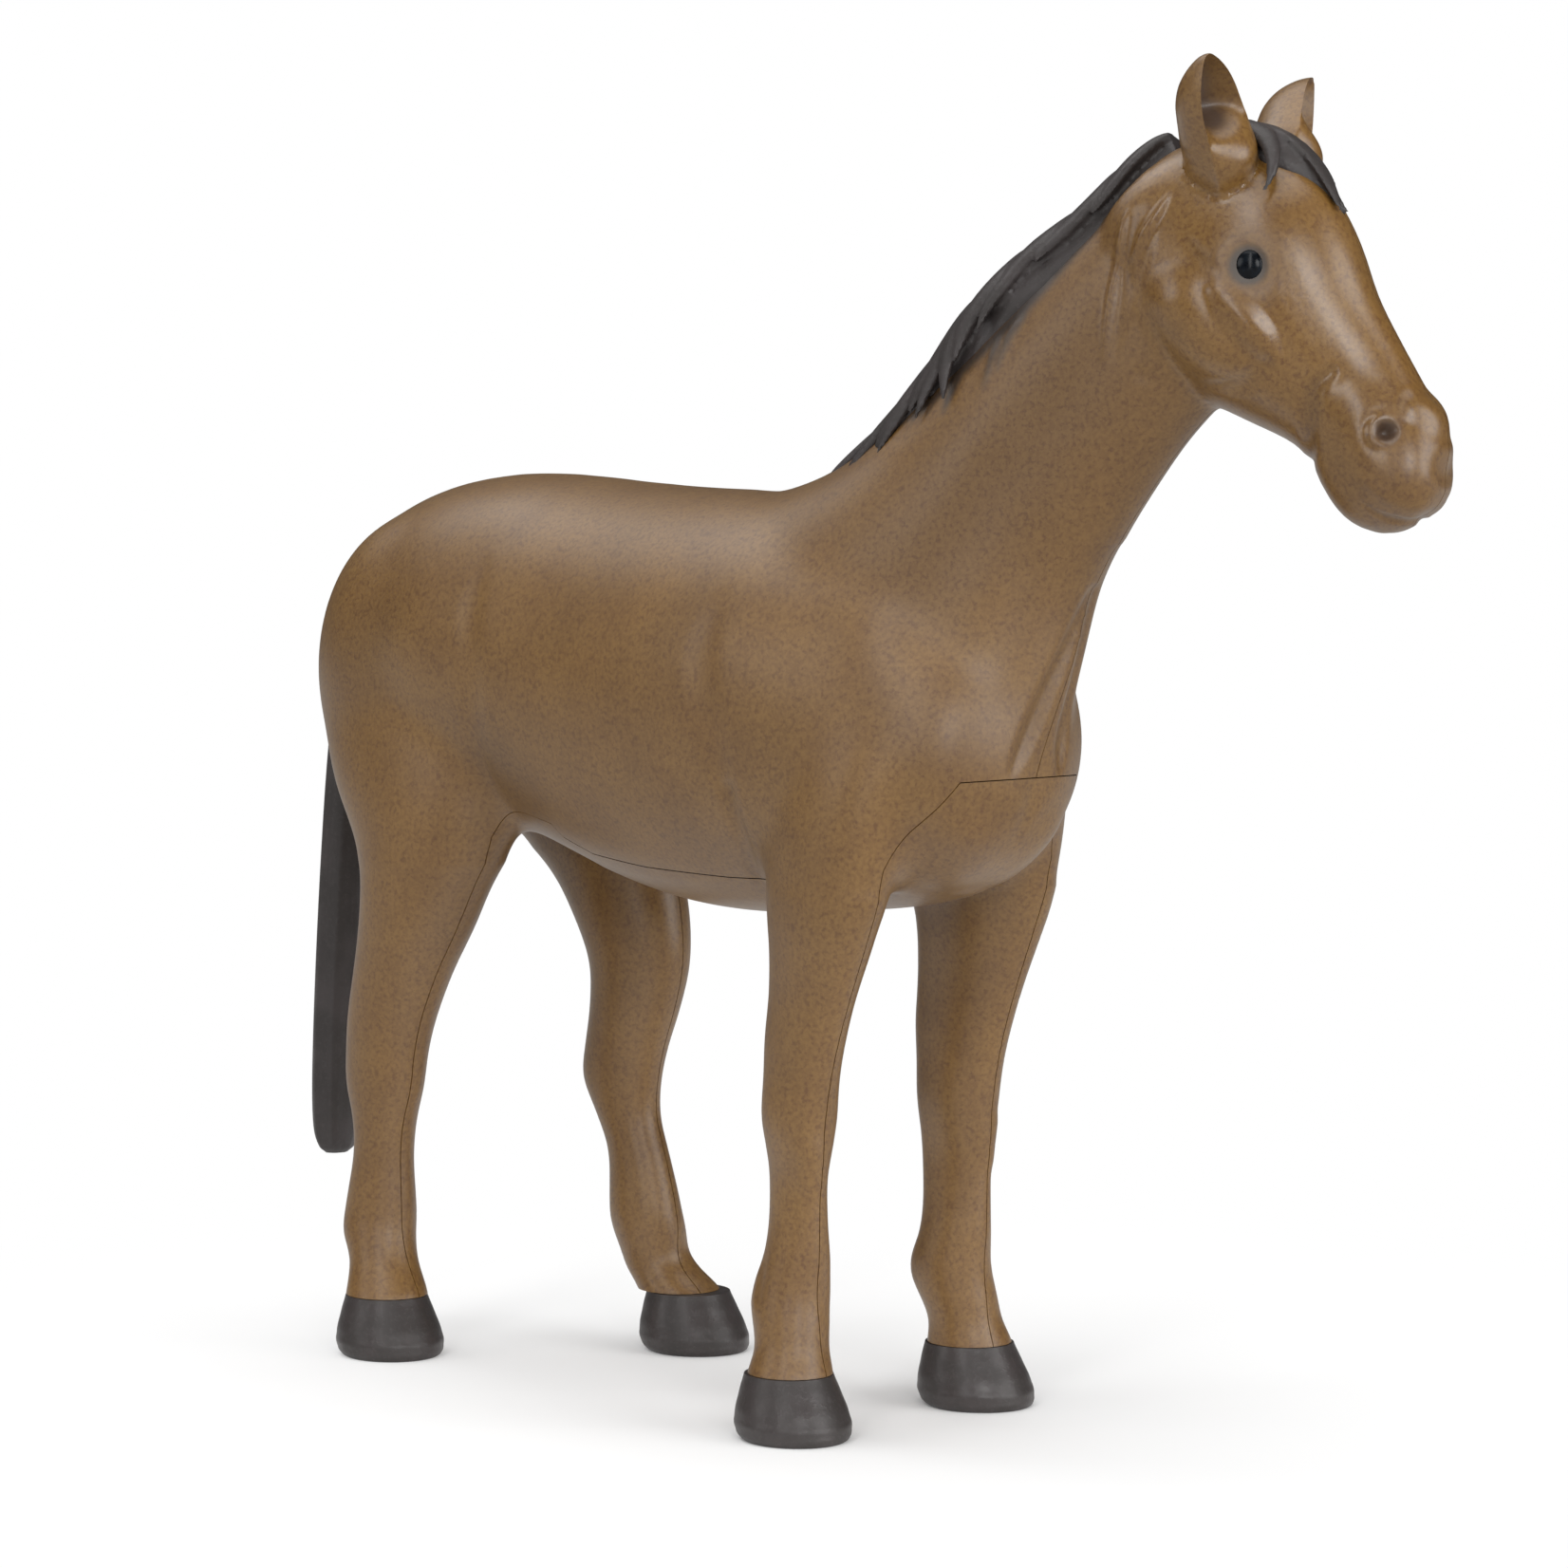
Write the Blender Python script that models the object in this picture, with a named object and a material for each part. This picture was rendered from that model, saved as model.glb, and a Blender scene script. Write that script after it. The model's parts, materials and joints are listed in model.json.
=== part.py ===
"""Toy farm horse in moulded plastic, modelled straight and then turned at the neck.

Two hollow outer shells meet along the middle of the back, neck and head. An underbody
insert closes the belly, the chest and the inner faces of the legs. Mane, forelock,
tail, hooves and eyes are darker pieces pressed into the shells.
Axes: +X towards the nose, +Y towards the horse's left, +Z up, soles at Z = 0.
"""
import math

import bmesh
import bpy
import numpy as np
from mathutils import Matrix, Vector

MM = 0.001

# Overall sizes
BODY_LENGTH = 99 * MM
BODY_WIDTH = 33 * MM
BACK_HEIGHT = 92 * MM
BODY_REAR = -49 * MM
NECK_WIDTH = 25 * MM
HEAD_LENGTH = 42 * MM
HEAD_WIDTH = 14.6 * MM
HEAD_SLOPE = math.radians(45)

# Side view places of the neck, mane and insert count from here, in back heights
CHEST_SHARE = 0.5435
SIDE_ORIGIN = BODY_REAR + BODY_LENGTH - CHEST_SHARE * BACK_HEIGHT
HEAD_FORWARD_SHARE = 0.6946
HEAD_HEIGHT_SHARE = 1.2174

# The turn of the neck and head to the horse's left
TURN_START = SIDE_ORIGIN + 0.217 * BACK_HEIGHT
TURN_END = SIDE_ORIGIN + 0.609 * BACK_HEIGHT
TURN_ANGLE = math.radians(19)
TURN_FLOOR = 0.63 * BACK_HEIGHT
TURN_CEILING = 0.87 * BACK_HEIGHT

# Legs and hooves
LEG_TOP = 0.587 * BACK_HEIGHT
LEG_SIZE = 10 * MM
FORE_FORWARD = BODY_REAR + 0.794 * BODY_LENGTH
HIND_FORWARD = BODY_REAR + 0.1515 * BODY_LENGTH
LEG_SPREAD = 0.33 * BODY_WIDTH
LEG_HOLLOW_SHARE = 0.76
HOOF_LENGTH = 12.6 * MM
HOOF_WIDTH = 11.6 * MM
HOOF_HEIGHT = 6.2 * MM
SOLE_LEVEL = -0.6 * MM
HOOF_TURN = math.radians(12)
HEEL_SHARE = 0.94
PLUG_RADIUS = 1.3 * MM
PLUG_HEIGHT = 3.4 * MM
PLUG_INSET = 0.4 * MM

# Ears: places from the head's origin, forward, sideways and up, as shares of the
# head's length. The far ear leads
EAR_ROOT_SHARES = Vector((0.1143, 0.1071, 0.2238))
EAR_TIP_SHARES = Vector((0.1667, 0.2381, 0.4095))
EAR_ROOT_LEAD = 0.0333 * HEAD_LENGTH
EAR_TIP_LEAD = 0.05 * HEAD_LENGTH
EAR_OPENING = Vector((0.8, 0.6, 0))
EAR_LENGTH = 0.2262 * HEAD_LENGTH
EAR_WIDTH = 0.1571 * HEAD_LENGTH
EAR_THICKNESS = 0.1 * HEAD_LENGTH
EAR_SCOOP = 0.42

# Mane, forelock and tail
MANE_WIDTH = 10 * MM
MANE_DEPTH = 4.8 * MM
MANE_UNDERSIDE = 0.45
MANE_THIN_SHARE = 0.55
TIP_DROP = 1.5
MANE_LOCKS = 11
LOCK_RISE = 0.4 * MM
MANE_PEG_ROWS = (3, 5, 7)
MANE_PEG_AXIS = Vector((0.6, 0, -0.8))
FORELOCK_PEG_ROW = 2
FORELOCK_WIDTH = 7.4 * MM
FORELOCK_DEPTH = 3.4 * MM
TAIL_LENGTH = 61 * MM
TAIL_DEPTH = 5 * MM
TAIL_WIDTH = 6 * MM
PEG_RADIUS = 0.9 * MM
PEG_LENGTH = 6 * MM
PEG_SIDES = 12

# Eyes: along the head and towards the face as shares of its length
EYE_ALONG_SHARE = 0.148
EYE_RISE_SHARE = 0.121
EYE_SIDE = 0.363 * HEAD_WIDTH
EYE_RADIUS = 1.8 * MM
EYE_FLATNESS = 0.9
EYE_STEM_RADIUS = 0.7 * MM
EYE_STEM_LENGTH = 2.8 * MM
EYE_SEGMENTS = 16
EYE_RINGS = 10

# Walls, clearances and fineness of the surfaces
WALL = 1.7 * MM
CREST_WALL = 3.8 * MM
GAP = 0.3 * MM
LEG_PARTING = LEG_SPREAD + 0.6 * MM
COLUMN_RADIUS = 3 * MM
PIN_RADIUS = 1.2 * MM
PIN_LENGTH = 2.4 * MM
SKIN_VOXEL = 0.7 * MM
SKIN_SMOOTHING = 6
SKIN_TRIANGLES = 4200
CAVITY_VOXEL = 1 * MM
CAVITY_SMOOTHING = 4
CAVITY_TRIANGLES = 1000
SMOOTH_FACTOR = 0.5
WELD = 0.01 * MM
SHARP_ANGLE = math.radians(35)
BODY_STEPS = 3
RING_SIDES = 28
TRIM_SIDES = 16
HOOF_SIDES = 24
FAR = 200 * MM

FORWARD = Vector((1, 0, 0))
LEFT = Vector((0, 1, 0))
UP = Vector((0, 0, 1))

# Torso rings from rump to chest: place along the body, top and floor as shares of
# the back height, half width as a share of the body width
TORSO_SHARES = (
    (0.00, 0.805, 0.710, 0.10),
    (0.03, 0.890, 0.655, 0.245),
    (0.08, 0.948, 0.630, 0.35),
    (0.15, 0.982, 0.615, 0.435),
    (0.25, 1.000, 0.610, 0.49),
    (0.35, 1.000, 0.582, 0.49),
    (0.45, 0.992, 0.550, 0.49),
    (0.55, 0.986, 0.530, 0.50),
    (0.65, 0.982, 0.526, 0.50),
    (0.75, 0.970, 0.534, 0.48),
    (0.85, 0.935, 0.546, 0.45),
    (0.92, 0.885, 0.565, 0.40),
    (0.97, 0.830, 0.605, 0.31),
    (1.00, 0.770, 0.660, 0.14),
)

# Neck rings from shoulder to poll, as shares of the back height: crest forward and
# up, throat forward and up. The half width is a share of the neck width
NECK_SHARES = (
    (0.13, 0.972, 0.540, 0.67, 0.50),
    (0.25, 0.999, 0.563, 0.79, 0.42),
    (0.34, 1.045, 0.581, 0.87, 0.35),
    (0.415, 1.105, 0.612, 0.93, 0.31),
    (0.475, 1.163, 0.645, 0.98, 0.28),
    (0.54, 1.222, 0.682, 1.03, 0.265),
    (0.60, 1.272, 0.72, 1.07, 0.25),
)

# Head rings from poll to lips, as shares of the head length: place along the head,
# rise towards the face, drop towards the jaw. The half width is a share of the width
HEAD_SHARES = (
    (-0.20, 0.15, 0.10, 0.30),
    (-0.13, 0.24, 0.20, 0.42),
    (0.00, 0.300, 0.24, 0.48),
    (0.12, 0.320, 0.235, 0.52),
    (0.24, 0.290, 0.205, 0.49),
    (0.36, 0.235, 0.160, 0.41),
    (0.48, 0.200, 0.120, 0.34),
    (0.60, 0.168, 0.140, 0.34),
    (0.68, 0.142, 0.138, 0.36),
    (0.74, 0.105, 0.108, 0.32),
    (0.78, 0.050, 0.060, 0.20),
)

# Fore leg rings from hoof to shoulder: height as a share of the leg top, then forward
# shift, half depth and half width as shares of the leg size
FORE_SHARES = (
    (0.04, 0.02, 0.47, 0.44),
    (0.10, 0.03, 0.46, 0.43),
    (0.14, 0.01, 0.41, 0.39),
    (0.185, 0.00, 0.40, 0.36),
    (0.23, -0.07, 0.42, 0.38),
    (0.27, -0.07, 0.42, 0.36),
    (0.31, -0.04, 0.39, 0.31),
    (0.37, -0.01, 0.375, 0.25),
    (0.45, -0.01, 0.39, 0.23),
    (0.50, 0.00, 0.41, 0.28),
    (0.56, 0.00, 0.44, 0.34),
    (0.63, 0.03, 0.48, 0.32),
    (0.70, 0.08, 0.54, 0.32),
    (0.78, 0.18, 0.60, 0.33),
    (0.87, 0.29, 0.69, 0.40),
    (0.96, 0.35, 0.82, 0.47),
    (1.07, 0.38, 0.95, 0.52),
    (1.20, 0.38, 1.02, 0.52),
    (1.33, 0.34, 0.98, 0.46),
    (1.45, 0.28, 0.80, 0.36),
)

# Hind leg rings, as above, with the right and the left leg's forward shifts
HIND_SHARES = (
    (0.04, 0.22, 2.22, 0.47, 0.44),
    (0.10, 0.22, 2.10, 0.46, 0.43),
    (0.14, 0.18, 1.87, 0.43, 0.40),
    (0.185, 0.08, 1.74, 0.42, 0.36),
    (0.245, -0.05, 1.72, 0.45, 0.36),
    (0.31, -0.04, 1.69, 0.41, 0.31),
    (0.37, -0.02, 1.60, 0.39, 0.29),
    (0.44, 0.00, 1.44, 0.42, 0.30),
    (0.51, 0.02, 1.34, 0.52, 0.33),
    (0.58, 0.06, 1.42, 0.54, 0.36),
    (0.65, 0.15, 1.54, 0.57, 0.40),
    (0.74, 0.34, 1.62, 0.63, 0.45),
    (0.83, 0.56, 1.50, 0.74, 0.51),
    (0.92, 0.72, 1.26, 0.88, 0.55),
    (1.00, 0.78, 0.95, 1.12, 0.60),
    (1.10, 0.62, 0.68, 1.36, 0.63),
    (1.24, 0.42, 0.44, 1.44, 0.61),
    (1.38, 0.30, 0.30, 1.34, 0.54),
    (1.50, 0.26, 0.26, 1.10, 0.42),
)

# Sideways place of all legs: height as a share of the leg top, share of the spread
SPREAD_SHARES = (
    (0.10, 1.14),
    (0.25, 1.00),
    (0.90, 1.00),
    (1.45, 0.75),
)

# Hoof rings: height share, shift towards the toe and size as shares of the hoof
HOOF_SHARES = (
    (0.00, 0.050, 0.94),
    (0.06, 0.050, 1.00),
    (0.20, 0.040, 0.99),
    (0.60, 0.015, 0.885),
    (0.92, -0.010, 0.80),
    (1.00, -0.010, 0.76),
)

# Muscle masses on each side: forward, sideways and up as shares of the body's length,
# width and back height, then their half sizes in the same way
MUSCLE_SHARES = (
    (0.175, 0.210, 0.775, 0.150, 0.258, 0.183),
    (0.828, 0.210, 0.7425, 0.115, 0.234, 0.1776),
)

# Ear rings from root to tip: height share, width share, share of the scoop
EAR_SHARES = (
    (-0.20, 0.80, -1.0),
    (0.00, 0.92, -0.6),
    (0.20, 1.00, 0.6),
    (0.45, 0.96, 1.0),
    (0.68, 0.78, 1.0),
    (0.85, 0.52, 1.0),
    (0.96, 0.26, 0.8),
    (1.00, 0.10, 0.0),
)

# Mane rings along the crest, as shares of the back height: forward and up, then the
# mane's own width share
MANE_SHARES = (
    (0.265, 1.003, 0.35),
    (0.295, 1.020, 0.70),
    (0.345, 1.056, 0.95),
    (0.400, 1.110, 1.00),
    (0.450, 1.170, 1.00),
    (0.510, 1.222, 1.00),
    (0.575, 1.266, 0.90),
    (0.630, 1.316, 0.72),
    (0.668, 1.342, 0.50),
)

# Forelock rings over the forehead, as shares of the head length: along the head and
# towards its face, then the forelock's own width share
FORELOCK_SHARES = (
    (-0.1970, 0.1983, 0.55),
    (-0.1506, 0.2602, 0.90),
    (-0.0700, 0.3191, 1.00),
    (0.0430, 0.3454, 0.85),
    (0.1499, 0.3377, 0.50),
    (0.2397, 0.3098, 0.15),
)

# Tail rings from the plug in the rump to the tip, as shares of the tail length: back
# from the rump's rear and down from the root. Then depth and width shares
TAIL_SHARES = (
    (-0.14, 0.00, 0.62, 0.62),
    (-0.09, -0.01, 0.62, 0.62),
    (-0.03, 0.00, 0.62, 0.62),
    (0.02, 0.05, 0.78, 0.80),
    (0.045, 0.15, 0.90, 0.92),
    (0.07, 0.34, 1.00, 1.00),
    (0.095, 0.60, 1.02, 1.02),
    (0.11, 0.82, 1.02, 1.02),
    (0.115, 0.94, 0.95, 0.95),
    (0.115, 0.985, 0.75, 0.75),
    (0.115, 1.00, 0.45, 0.45),
)
TAIL_ROOT_HEIGHT = 0.848 * BACK_HEIGHT

# Top edge of the underbody insert, as shares of the back height: forward and up
INSERT_EDGE_SHARES = (
    (-0.90, 0.665),
    (-0.16, 0.665),
    (-0.03, 0.583),
    (0.42, 0.583),
    (0.48, 0.683),
    (0.90, 0.683),
)

# Places of the locating columns between the shells, as shares of the back height
COLUMN_SHARES = (
    (-0.36, 0.86),
    (0.00, 0.86),
    (0.34, 0.84),
    (0.55, 1.11),
)


def clear_scene():
    """Remove the objects that a new scene starts with."""
    for item in list(bpy.data.objects):
        bpy.data.objects.remove(item, do_unlink=True)


def add_object(name, bm):
    """Turn a bmesh into a scene object."""
    bmesh.ops.recalc_face_normals(bm, faces=bm.faces)
    mesh = bpy.data.meshes.new(name)
    bm.to_mesh(mesh)
    bm.free()
    item = bpy.data.objects.new(name, mesh)
    bpy.context.scene.collection.objects.link(item)
    return item


def remove_objects(items):
    """Delete objects that were only tools."""
    for item in items:
        bpy.data.objects.remove(item, do_unlink=True)


def apply_modifiers(item):
    """Replace an object's mesh by its evaluated one."""
    depsgraph = bpy.context.evaluated_depsgraph_get()
    mesh = bpy.data.meshes.new_from_object(item.evaluated_get(depsgraph))
    item.modifiers.clear()
    item.data = mesh


def boolean(item, tool, operation):
    """Cut, join or intersect an object with a tool object. Both are closed bodies."""
    modifier = item.modifiers.new("boolean", "BOOLEAN")
    modifier.object = tool
    modifier.operation = operation
    modifier.solver = "MANIFOLD"
    apply_modifiers(item)


def copy_object(item, name):
    """An independent copy of an object."""
    twin = bpy.data.objects.new(name, item.data.copy())
    bpy.context.scene.collection.objects.link(twin)
    return twin


def join_objects(name, items):
    """One object that holds the bodies of several."""
    bm = bmesh.new()
    for item in items:
        bm.from_mesh(item.data)
    remove_objects(items)
    return add_object(name, bm)


def smooth_rows(rows, steps=2):
    """Points on a smooth curve through each row of a table."""
    table = np.array(rows, dtype=float)
    first = 2 * table[0] - table[1]
    last = 2 * table[-1] - table[-2]
    padded = np.vstack((first, table, last))
    result = []
    for index in range(len(table) - 1):
        before, start, end, after = padded[index:index + 4]
        for step in range(steps):
            t = step / steps
            bend = (2 * before - 5 * start + 4 * end - after) * t ** 2
            twist = (3 * start - before - 3 * end + after) * t ** 3
            result.append((2 * start + (end - before) * t + bend + twist) / 2)
    result.append(table[-1])
    return result


def ring(centre, rise_axis, rise, drop, half_width, under=None, side_axis=LEFT,
         sides=RING_SIDES):
    """Points around one section. An under value bends the lower half into a saddle."""
    points = []
    for index in range(sides):
        angle = 2 * math.pi * index / sides
        across = half_width * math.cos(angle)
        height = math.sin(angle)
        if height >= 0:
            height *= rise
        elif under is None:
            height *= drop
        else:
            height *= under * height
        points.append(centre + side_axis * across + rise_axis * height)
    return points


def loft(name, rings):
    """A closed body through a row of rings."""
    bm = bmesh.new()
    loops = []
    for points in rings:
        made = bmesh.ops.create_circle(bm, segments=len(points), radius=WALL)
        for vert, point in zip(made["verts"], points):
            vert.co = point
        loops.append(sorted({edge for vert in made["verts"] for edge in vert.link_edges},
                            key=lambda edge: edge.index))
    for near, far in zip(loops, loops[1:]):
        bmesh.ops.bridge_loops(bm, edges=near + far)
    for end in (loops[0], loops[-1]):
        bmesh.ops.contextual_create(bm, geom=end)
    return add_object(name, bm)


def cylinder(name, start, end, radius, sides=TRIM_SIDES):
    """A round bar from one point to another."""
    bm = bmesh.new()
    run = end - start
    turn = run.to_track_quat("Z", "Y").to_matrix().to_4x4()
    bmesh.ops.create_cone(bm, cap_ends=True, segments=sides, radius1=radius,
                          radius2=radius, depth=run.length,
                          matrix=Matrix.Translation((start + end) / 2) @ turn)
    return add_object(name, bm)


def ellipsoid(name, centre, half_sizes, segments=RING_SIDES, rings=TRIM_SIDES):
    """A round mass with three half sizes."""
    bm = bmesh.new()
    place = Matrix.Translation(centre) @ Matrix.Diagonal((*half_sizes, 1))
    bmesh.ops.create_uvsphere(bm, u_segments=segments, v_segments=rings, radius=1,
                              matrix=place)
    return add_object(name, bm)


def block(name, low, high):
    """A box between two corners."""
    bm = bmesh.new()
    size = high - low
    place = Matrix.Translation((low + high) / 2) @ Matrix.Diagonal((*size, 1))
    bmesh.ops.create_cube(bm, size=1, matrix=place)
    return add_object(name, bm)


def prism(name, outline, half_width):
    """An outline in the side view, thickened to both sides."""
    bm = bmesh.new()
    verts = [bm.verts.new((forward, -half_width, up)) for forward, up in outline]
    face = bm.faces.new(verts)
    made = bmesh.ops.extrude_face_region(bm, geom=[face])
    moved = [part for part in made["geom"] if isinstance(part, bmesh.types.BMVert)]
    bmesh.ops.translate(bm, verts=moved, vec=LEFT * 2 * half_width)
    return add_object(name, bm)


def torso_rings(inset):
    """Sections of the trunk, each square to the body's length."""
    rings = []
    for along, top, floor, width in smooth_rows(TORSO_SHARES, BODY_STEPS):
        half_height = (top - floor) * BACK_HEIGHT / 2 - inset
        half_width = width * BODY_WIDTH - inset
        if min(half_height, half_width) > inset / 2:
            centre = FORWARD * (BODY_REAR + along * BODY_LENGTH)
            centre += UP * (top + floor) * BACK_HEIGHT / 2
            rings.append(ring(centre, UP, half_height, half_height, half_width))
    return rings


def side_point(forward, up):
    """A place on the middle plane, in shares of the back height."""
    return FORWARD * (SIDE_ORIGIN + forward * BACK_HEIGHT) + UP * up * BACK_HEIGHT


def neck_rings(inset):
    """Sections of the neck, each from a crest point to a throat point."""
    rings = []
    crest_inset = CREST_WALL if inset else 0
    for row in smooth_rows(NECK_SHARES, BODY_STEPS):
        crest_x, crest_z, throat_x, throat_z, width = row
        crest = side_point(crest_x, crest_z)
        throat = side_point(throat_x, throat_z)
        rise_axis = (crest - throat).normalized()
        crest -= rise_axis * crest_inset
        throat += rise_axis * inset
        half_height = (crest - throat).length / 2
        half_width = width * NECK_WIDTH - inset
        rings.append(ring((crest + throat) / 2, rise_axis, half_height, half_height,
                          half_width))
    return rings


def head_point(along, rise):
    """A place on the middle plane along the head and towards its face, in shares."""
    down = FORWARD * math.cos(HEAD_SLOPE) - UP * math.sin(HEAD_SLOPE)
    face = FORWARD * math.sin(HEAD_SLOPE) + UP * math.cos(HEAD_SLOPE)
    origin = side_point(HEAD_FORWARD_SHARE, HEAD_HEIGHT_SHARE)
    return origin + (down * along + face * rise) * HEAD_LENGTH


def head_rings(inset):
    """Sections of the head, square to a line from poll to lips."""
    rings = []
    face_axis = (head_point(0, 1) - head_point(0, 0)).normalized()
    for along, rise, drop, width in smooth_rows(HEAD_SHARES, BODY_STEPS):
        half_width = width * HEAD_WIDTH - inset
        rise = rise * HEAD_LENGTH - inset
        drop = drop * HEAD_LENGTH - inset
        if min(half_width, rise, drop) > inset / 2:
            centre = head_point(along, 0)
            rings.append(ring(centre, face_axis, rise, drop, half_width))
    return rings


def leg_spread(height):
    """Distance of a leg's middle from the body's middle at some height."""
    height_shares, spread_shares = zip(*SPREAD_SHARES)
    return float(np.interp(height / LEG_TOP, height_shares, spread_shares)) * LEG_SPREAD


def leg_rings(rows, forward, side, turn, inset):
    """Level sections of one leg. Inside the plastic only the upper leg is hollow."""
    rings = []
    turned = Matrix.Rotation(side * turn, 3, "Z")
    for height, shift, depth, width in smooth_rows(rows, BODY_STEPS):
        if inset and height < LEG_HOLLOW_SHARE:
            continue
        centre = FORWARD * (forward + shift * LEG_SIZE) + UP * height * LEG_TOP
        centre += LEFT * side * leg_spread(height * LEG_TOP)
        half_depth = depth * LEG_SIZE - inset
        half_width = width * LEG_SIZE - inset
        rings.append(ring(centre, turned @ FORWARD, half_depth, half_depth, half_width,
                          side_axis=turned @ LEFT))
    return rings


def hind_rows(side):
    """The hind leg's table for one side."""
    shift_column = 1 if side < 0 else 2
    return [(row[0], row[shift_column], row[3], row[4]) for row in HIND_SHARES]


def body_form(name, inset):
    """Trunk, neck, head, legs and muscles as overlapping closed bodies."""
    parts = [
        loft("torso", torso_rings(inset)),
        loft("neck", neck_rings(inset)),
        loft("head", head_rings(inset)),
    ]
    for side in (-1, 1):
        parts.append(loft("fore", leg_rings(FORE_SHARES, FORE_FORWARD, side, HOOF_TURN,
                                            inset)))
        parts.append(loft("hind", leg_rings(hind_rows(side), HIND_FORWARD, side, 0,
                                            inset)))
        for forward, aside, up, *half_sizes in MUSCLE_SHARES:
            scales = Vector((BODY_LENGTH, BODY_WIDTH, BACK_HEIGHT))
            centre = FORWARD * BODY_REAR + Vector((forward, side * aside, up)) * scales
            reach = Vector(half_sizes) * scales - Vector((inset, inset, inset))
            parts.append(ellipsoid("muscle", centre, reach))
    return join_objects(name, parts)


def melt(item, voxel, smoothing, triangles):
    """Fuse overlapping bodies into one smooth surface with few triangles."""
    remesh = item.modifiers.new("remesh", "REMESH")
    remesh.mode = "VOXEL"
    remesh.voxel_size = voxel
    smooth = item.modifiers.new("smooth", "SMOOTH")
    smooth.factor = SMOOTH_FACTOR
    smooth.iterations = smoothing
    item.modifiers.new("triangles", "TRIANGULATE")
    apply_modifiers(item)
    decimate = item.modifiers.new("decimate", "DECIMATE")
    decimate.ratio = triangles / len(item.data.polygons)
    apply_modifiers(item)
    return item


def make_ear(side):
    """A cupped ear, its open side turned forwards and outwards."""
    origin = head_point(0, 0)
    mirror = Matrix.Diagonal((HEAD_LENGTH, side * HEAD_LENGTH, HEAD_LENGTH))
    root = origin + mirror @ EAR_ROOT_SHARES + FORWARD * side * EAR_ROOT_LEAD
    tip = origin + mirror @ EAR_TIP_SHARES + FORWARD * side * EAR_TIP_LEAD
    axis = (tip - root).normalized()
    open_side = (mirror @ EAR_OPENING).cross(axis).cross(axis) * -1
    open_side.normalize()
    across = axis.cross(open_side)
    rings = []
    for height, width, scoop in smooth_rows(EAR_SHARES):
        half_width = width * EAR_WIDTH / 2
        half_depth = width * EAR_THICKNESS / 2
        hollow = EAR_SCOOP * half_depth if scoop > 0 else half_depth
        rings.append(ring(root + axis * height * EAR_LENGTH, open_side * -1, half_depth,
                          0, half_width, under=scoop * hollow, side_axis=across,
                          sides=TRIM_SIDES))
    return loft("ear", rings)


def saddle_rings(rows, place, width, depth, grow, lock_rise=0):
    """Sections of a strip that lies over a ridge, such as the mane on the crest."""
    places = smooth_rows(rows)
    points = [place(row[0], row[1]) for row in places]
    rings = []
    for index, row in enumerate(places):
        before = points[max(0, index - 1)]
        after = points[min(len(points) - 1, index + 1)]
        rise_axis = LEFT.cross(before - after).normalized()
        if index in (0, len(points) - 1):
            points[index] += (points[index] - (before + after) / 2).normalized() * grow
        wave = abs(math.sin(math.pi * MANE_LOCKS * index / (len(points) - 1)))
        half_width = row[2] * width / 2 + grow
        reach = depth * (MANE_THIN_SHARE + (1 - MANE_THIN_SHARE) * row[2])
        centre = points[index] - rise_axis * (reach + TIP_DROP * grow)
        rise = reach + (1 + TIP_DROP) * grow + lock_rise * wave
        under = MANE_UNDERSIDE * reach * row[2] + (TIP_DROP - 1) * grow
        rings.append(ring(centre, rise_axis, rise, 0, half_width, under=under,
                          sides=TRIM_SIDES))
    return rings


def make_mane(grow):
    """The mane with its pegs, or the room for it when grown."""
    mane = loft("mane", saddle_rings(MANE_SHARES, side_point, MANE_WIDTH, MANE_DEPTH,
                                     grow, LOCK_RISE))
    for index in MANE_PEG_ROWS:
        forward, up, _ = MANE_SHARES[index]
        add_peg(mane, side_point(forward, up), MANE_PEG_AXIS, grow)
    return mane


def add_peg(item, crest, inward, grow):
    """Add a round peg that runs from just under a crest point into the shells."""
    peg = cylinder("peg", crest + inward * PEG_RADIUS, crest + inward * (PEG_LENGTH + grow),
                   PEG_RADIUS + grow, PEG_SIDES)
    boolean(item, peg, "UNION")
    remove_objects([peg])


def make_forelock(grow):
    """The forelock with its peg, or the room for it when grown."""
    forelock = loft("forelock", saddle_rings(FORELOCK_SHARES, head_point,
                                             FORELOCK_WIDTH, FORELOCK_DEPTH, grow))
    along, rise, _ = FORELOCK_SHARES[FORELOCK_PEG_ROW]
    add_peg(forelock, head_point(along, rise), -UP, grow)
    return forelock


def make_tail(grow):
    """The tail with its plug inside the rump, or the room for it when grown."""
    rows = smooth_rows(TAIL_SHARES)
    points = []
    for back, down, _, _ in rows:
        points.append(FORWARD * (BODY_REAR - back * TAIL_LENGTH)
                      + UP * (TAIL_ROOT_HEIGHT - down * TAIL_LENGTH))
    rings = []
    for index, (_, _, depth, width) in enumerate(rows):
        before = points[max(0, index - 1)]
        after = points[min(len(points) - 1, index + 1)]
        rise_axis = LEFT.cross(before - after).normalized()
        half_depth = depth * TAIL_DEPTH / 2 + grow
        half_width = width * TAIL_WIDTH / 2 + grow
        rings.append(ring(points[index], rise_axis, half_depth, half_depth, half_width,
                          sides=TRIM_SIDES))
    return loft("tail", rings)


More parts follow.
